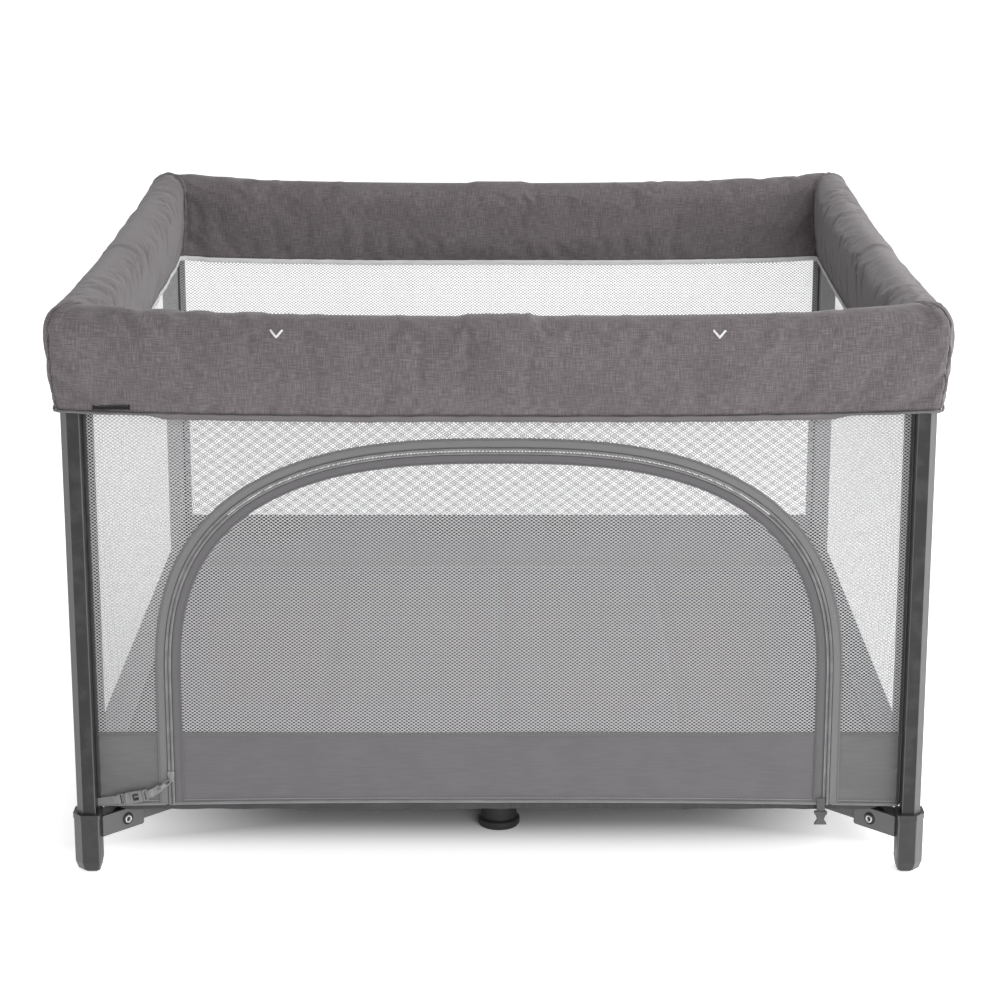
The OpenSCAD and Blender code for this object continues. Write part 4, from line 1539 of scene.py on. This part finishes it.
def make_slider():
    """Zip slider: a heart-shaped body with side flanges, a bridge and its pull tab."""
    shape = Shape()
    x = (slider_low.x + slider_high.x) / 2
    body_z = slider_low.z + 15 * MM
    front = slider_low.y
    heart = [
        (-4.4, 13.5), (-2.2, 14.6), (0, 14.0), (2.2, 14.6), (4.4, 13.5), (4.6, 10),
        (3.9, 4), (3.3, 0.4), (1.2, -0.4), (-1.2, -0.4), (-3.3, 0.4), (-3.9, 4), (-4.6, 10),
    ]
    outline = [(x + u * MM, body_z + w * MM) for u, w in heart[::-1]]
    plate(shape, outline, front + 2.5 * MM, front + 4.1 * MM, 0.5 * MM, coil_plastic)
    plate(shape, outline, front + 6.6 * MM, front + 8.0 * MM, 0.5 * MM, coil_plastic)
    face = front + 2.6 * MM
    bridge = [(x, face, body_z + 1.5 * MM)]
    for angle in np.linspace(0, math.pi, 11):
        bow, rise = 2.0 * MM * math.sin(angle), 4.5 * MM * math.cos(angle)
        bridge.append((x, face - bow, body_z + 7 * MM - rise))
    sweep(shape, bridge, (1, 0, 0), rounded_bar(2.6 * MM, 1.3 * MM, 0.4 * MM, 2), coil_plastic)
    eye = on_strap() @ Vector((EYE_U, -2.6 * MM, EYE_W))
    start = Vector((x, front + 1.2 * MM, body_z + 4 * MM))
    along = (eye - start).normalized()
    side = along.cross(Vector((0, 1, 0))).normalized()
    length = (eye - start).length
    for lane, bow in ((1, 2.6 * MM), (-1, 2.0 * MM)):
        cord = []
        for t in np.linspace(0, 1, 13):
            out = lane * (0.5 * MM + bow * math.sin(math.pi * t) ** 0.8)
            cord.append(start + along * length * t + side * out + Vector((0, -0.5 * MM * lane, 0)))
        sweep(shape, [tuple(c) for c in cord], (0, -1, 0), round_bar(0.85 * MM, 8), coil_plastic)
    grip = [start + along * length * t + Vector((0, -1.2 * MM, 0)) for t in np.linspace(0.42, 0.8, 6)]
    tab = rounded_bar(1.8 * MM, 4.6 * MM, 0.7 * MM, 2)
    sweep(shape, [tuple(c) for c in grip], (0, -1, 0), tab, coil_plastic)
    obj = shape.build("zip_slider_body", None, 40, True)
    place(obj, "zip_slider", "zip", wall_squash(0), ["zip_slider"])


def make_open_half():
    """The spare half buckle on its short tail, at the right end of the zip."""
    shape = Shape()
    x, y = 416 * MM, WALL_Y - HALF - 4.0 * MM
    z = np.linspace(93, 76, 12) * MM
    line = np.stack([0 * z + x, y + 0.4 * MM * np.sin(z * 300), z], 1)
    sweep(shape, line, (0, -1, 0), rounded_bar(1.4 * MM, 10.5 * MM, 0.45 * MM, 2), dark_webbing)
    half = [(7.6, 76), (8.2, 72.5), (6.6, 70.5), (4.7, 66), (5.0, 63.5), (7.8, 59), (8.2, 57.6)]
    outline = [(x + a * MM, b * MM) for a, b in half] + [(x - a * MM, b * MM) for a, b in half[::-1]]
    plate(shape, outline[::-1], y - 2.6 * MM, y + 2.4 * MM, 0.7 * MM, dark_buckle)
    rim = rounded_box(x - 8.4 * MM, x + 8.4 * MM, 72.4 * MM, 75.2 * MM, 1.1 * MM)
    plate(shape, rim, y - 3.2 * MM, y + 3.0 * MM, 0.6 * MM, dark_buckle)
    obj = shape.build("spare_buckle", None, 40, True)
    place(obj, "root", "webbing", wall_squash(0))


make_tether()
make_tongue()
make_slider()
make_open_half()

# ---------------------------------------------------------------- frame finishes and small fittings

FINISHES = {
    "post_": post_paint,
    "rail_": post_paint,
    "floor_arm_": post_paint,
    "foot_": foot_plastic,
    "bracket_": foot_plastic,
    "hub": black_plastic,
    "support_": black_plastic,
    "latch_": black_plastic,
    "release_": black_plastic,
}


def finish_frame():
    for name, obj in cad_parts.items():
        for start, material in FINISHES.items():
            if name.startswith(start):
                obj.data.materials.clear()
                obj.data.materials.append(material)


def ring_rivet(corner):
    """Hollow rivets on both cheeks of a foot's fork, each inside a black torus that is painted shade for the
    recess round it.
    """
    shape = Shape()
    matrix = on_corner(corner) @ Matrix.Rotation(math.radians(45), 4, "Z")
    for sign in (-1, 1):
        face = sign * FORK_FACE
        # The black torus of painted shade for the recess and, proud of it, the bright steel ring
        for radius, tube, material, stand in ((7.0, 1.3, black_plastic, 0.1), (4.1, 1.5, steel, 1.2)):
            ring_of = circle(FOOT_PIVOT, ARM_Z, radius * MM, 32)
            line = [(x, face + sign * stand * MM, z) for x, z in ring_of + ring_of[:1]]
            sweep(shape, line, (0, sign, 0), round_bar(tube * MM, 8), material)
        low, high = sorted((face + sign * 0.9 * MM, face + sign * 1.2 * MM))
        plate(shape, circle(FOOT_PIVOT, ARM_Z, 3.0 * MM, 20), low, high, 0.1 * MM, black_plastic)
    obj = shape.build("rivets_" + CORNERS[corner], matrix, 40, True)
    place(obj, POST_BODIES[corner], "black_plastic")


def corner_welt(corner):
    """Upright piped welt where two walls are sewn together, at the inner edge of the post."""
    shape = Shape()
    inset = HALF - WALL_X + 1.5 * MM
    z = np.linspace(float(hem_at(WALL_X)), PAD_LOW + 8 * MM, 90)
    line = np.stack([0 * z + inset, 0 * z + inset, z], 1)
    line[:, 0] += 0.15 * MM * np.sin(z * 300)
    sweep(shape, line, (-1, -1, 0), round_bar(2.2 * MM), corner_tape)
    obj = shape.build("corner_welt_" + CORNERS[corner], on_corner(corner))
    place(obj, POST_BODIES[corner], "skirt")


finish_frame()
for corner_at in range(4):
    ring_rivet(corner_at)
    corner_welt(corner_at)
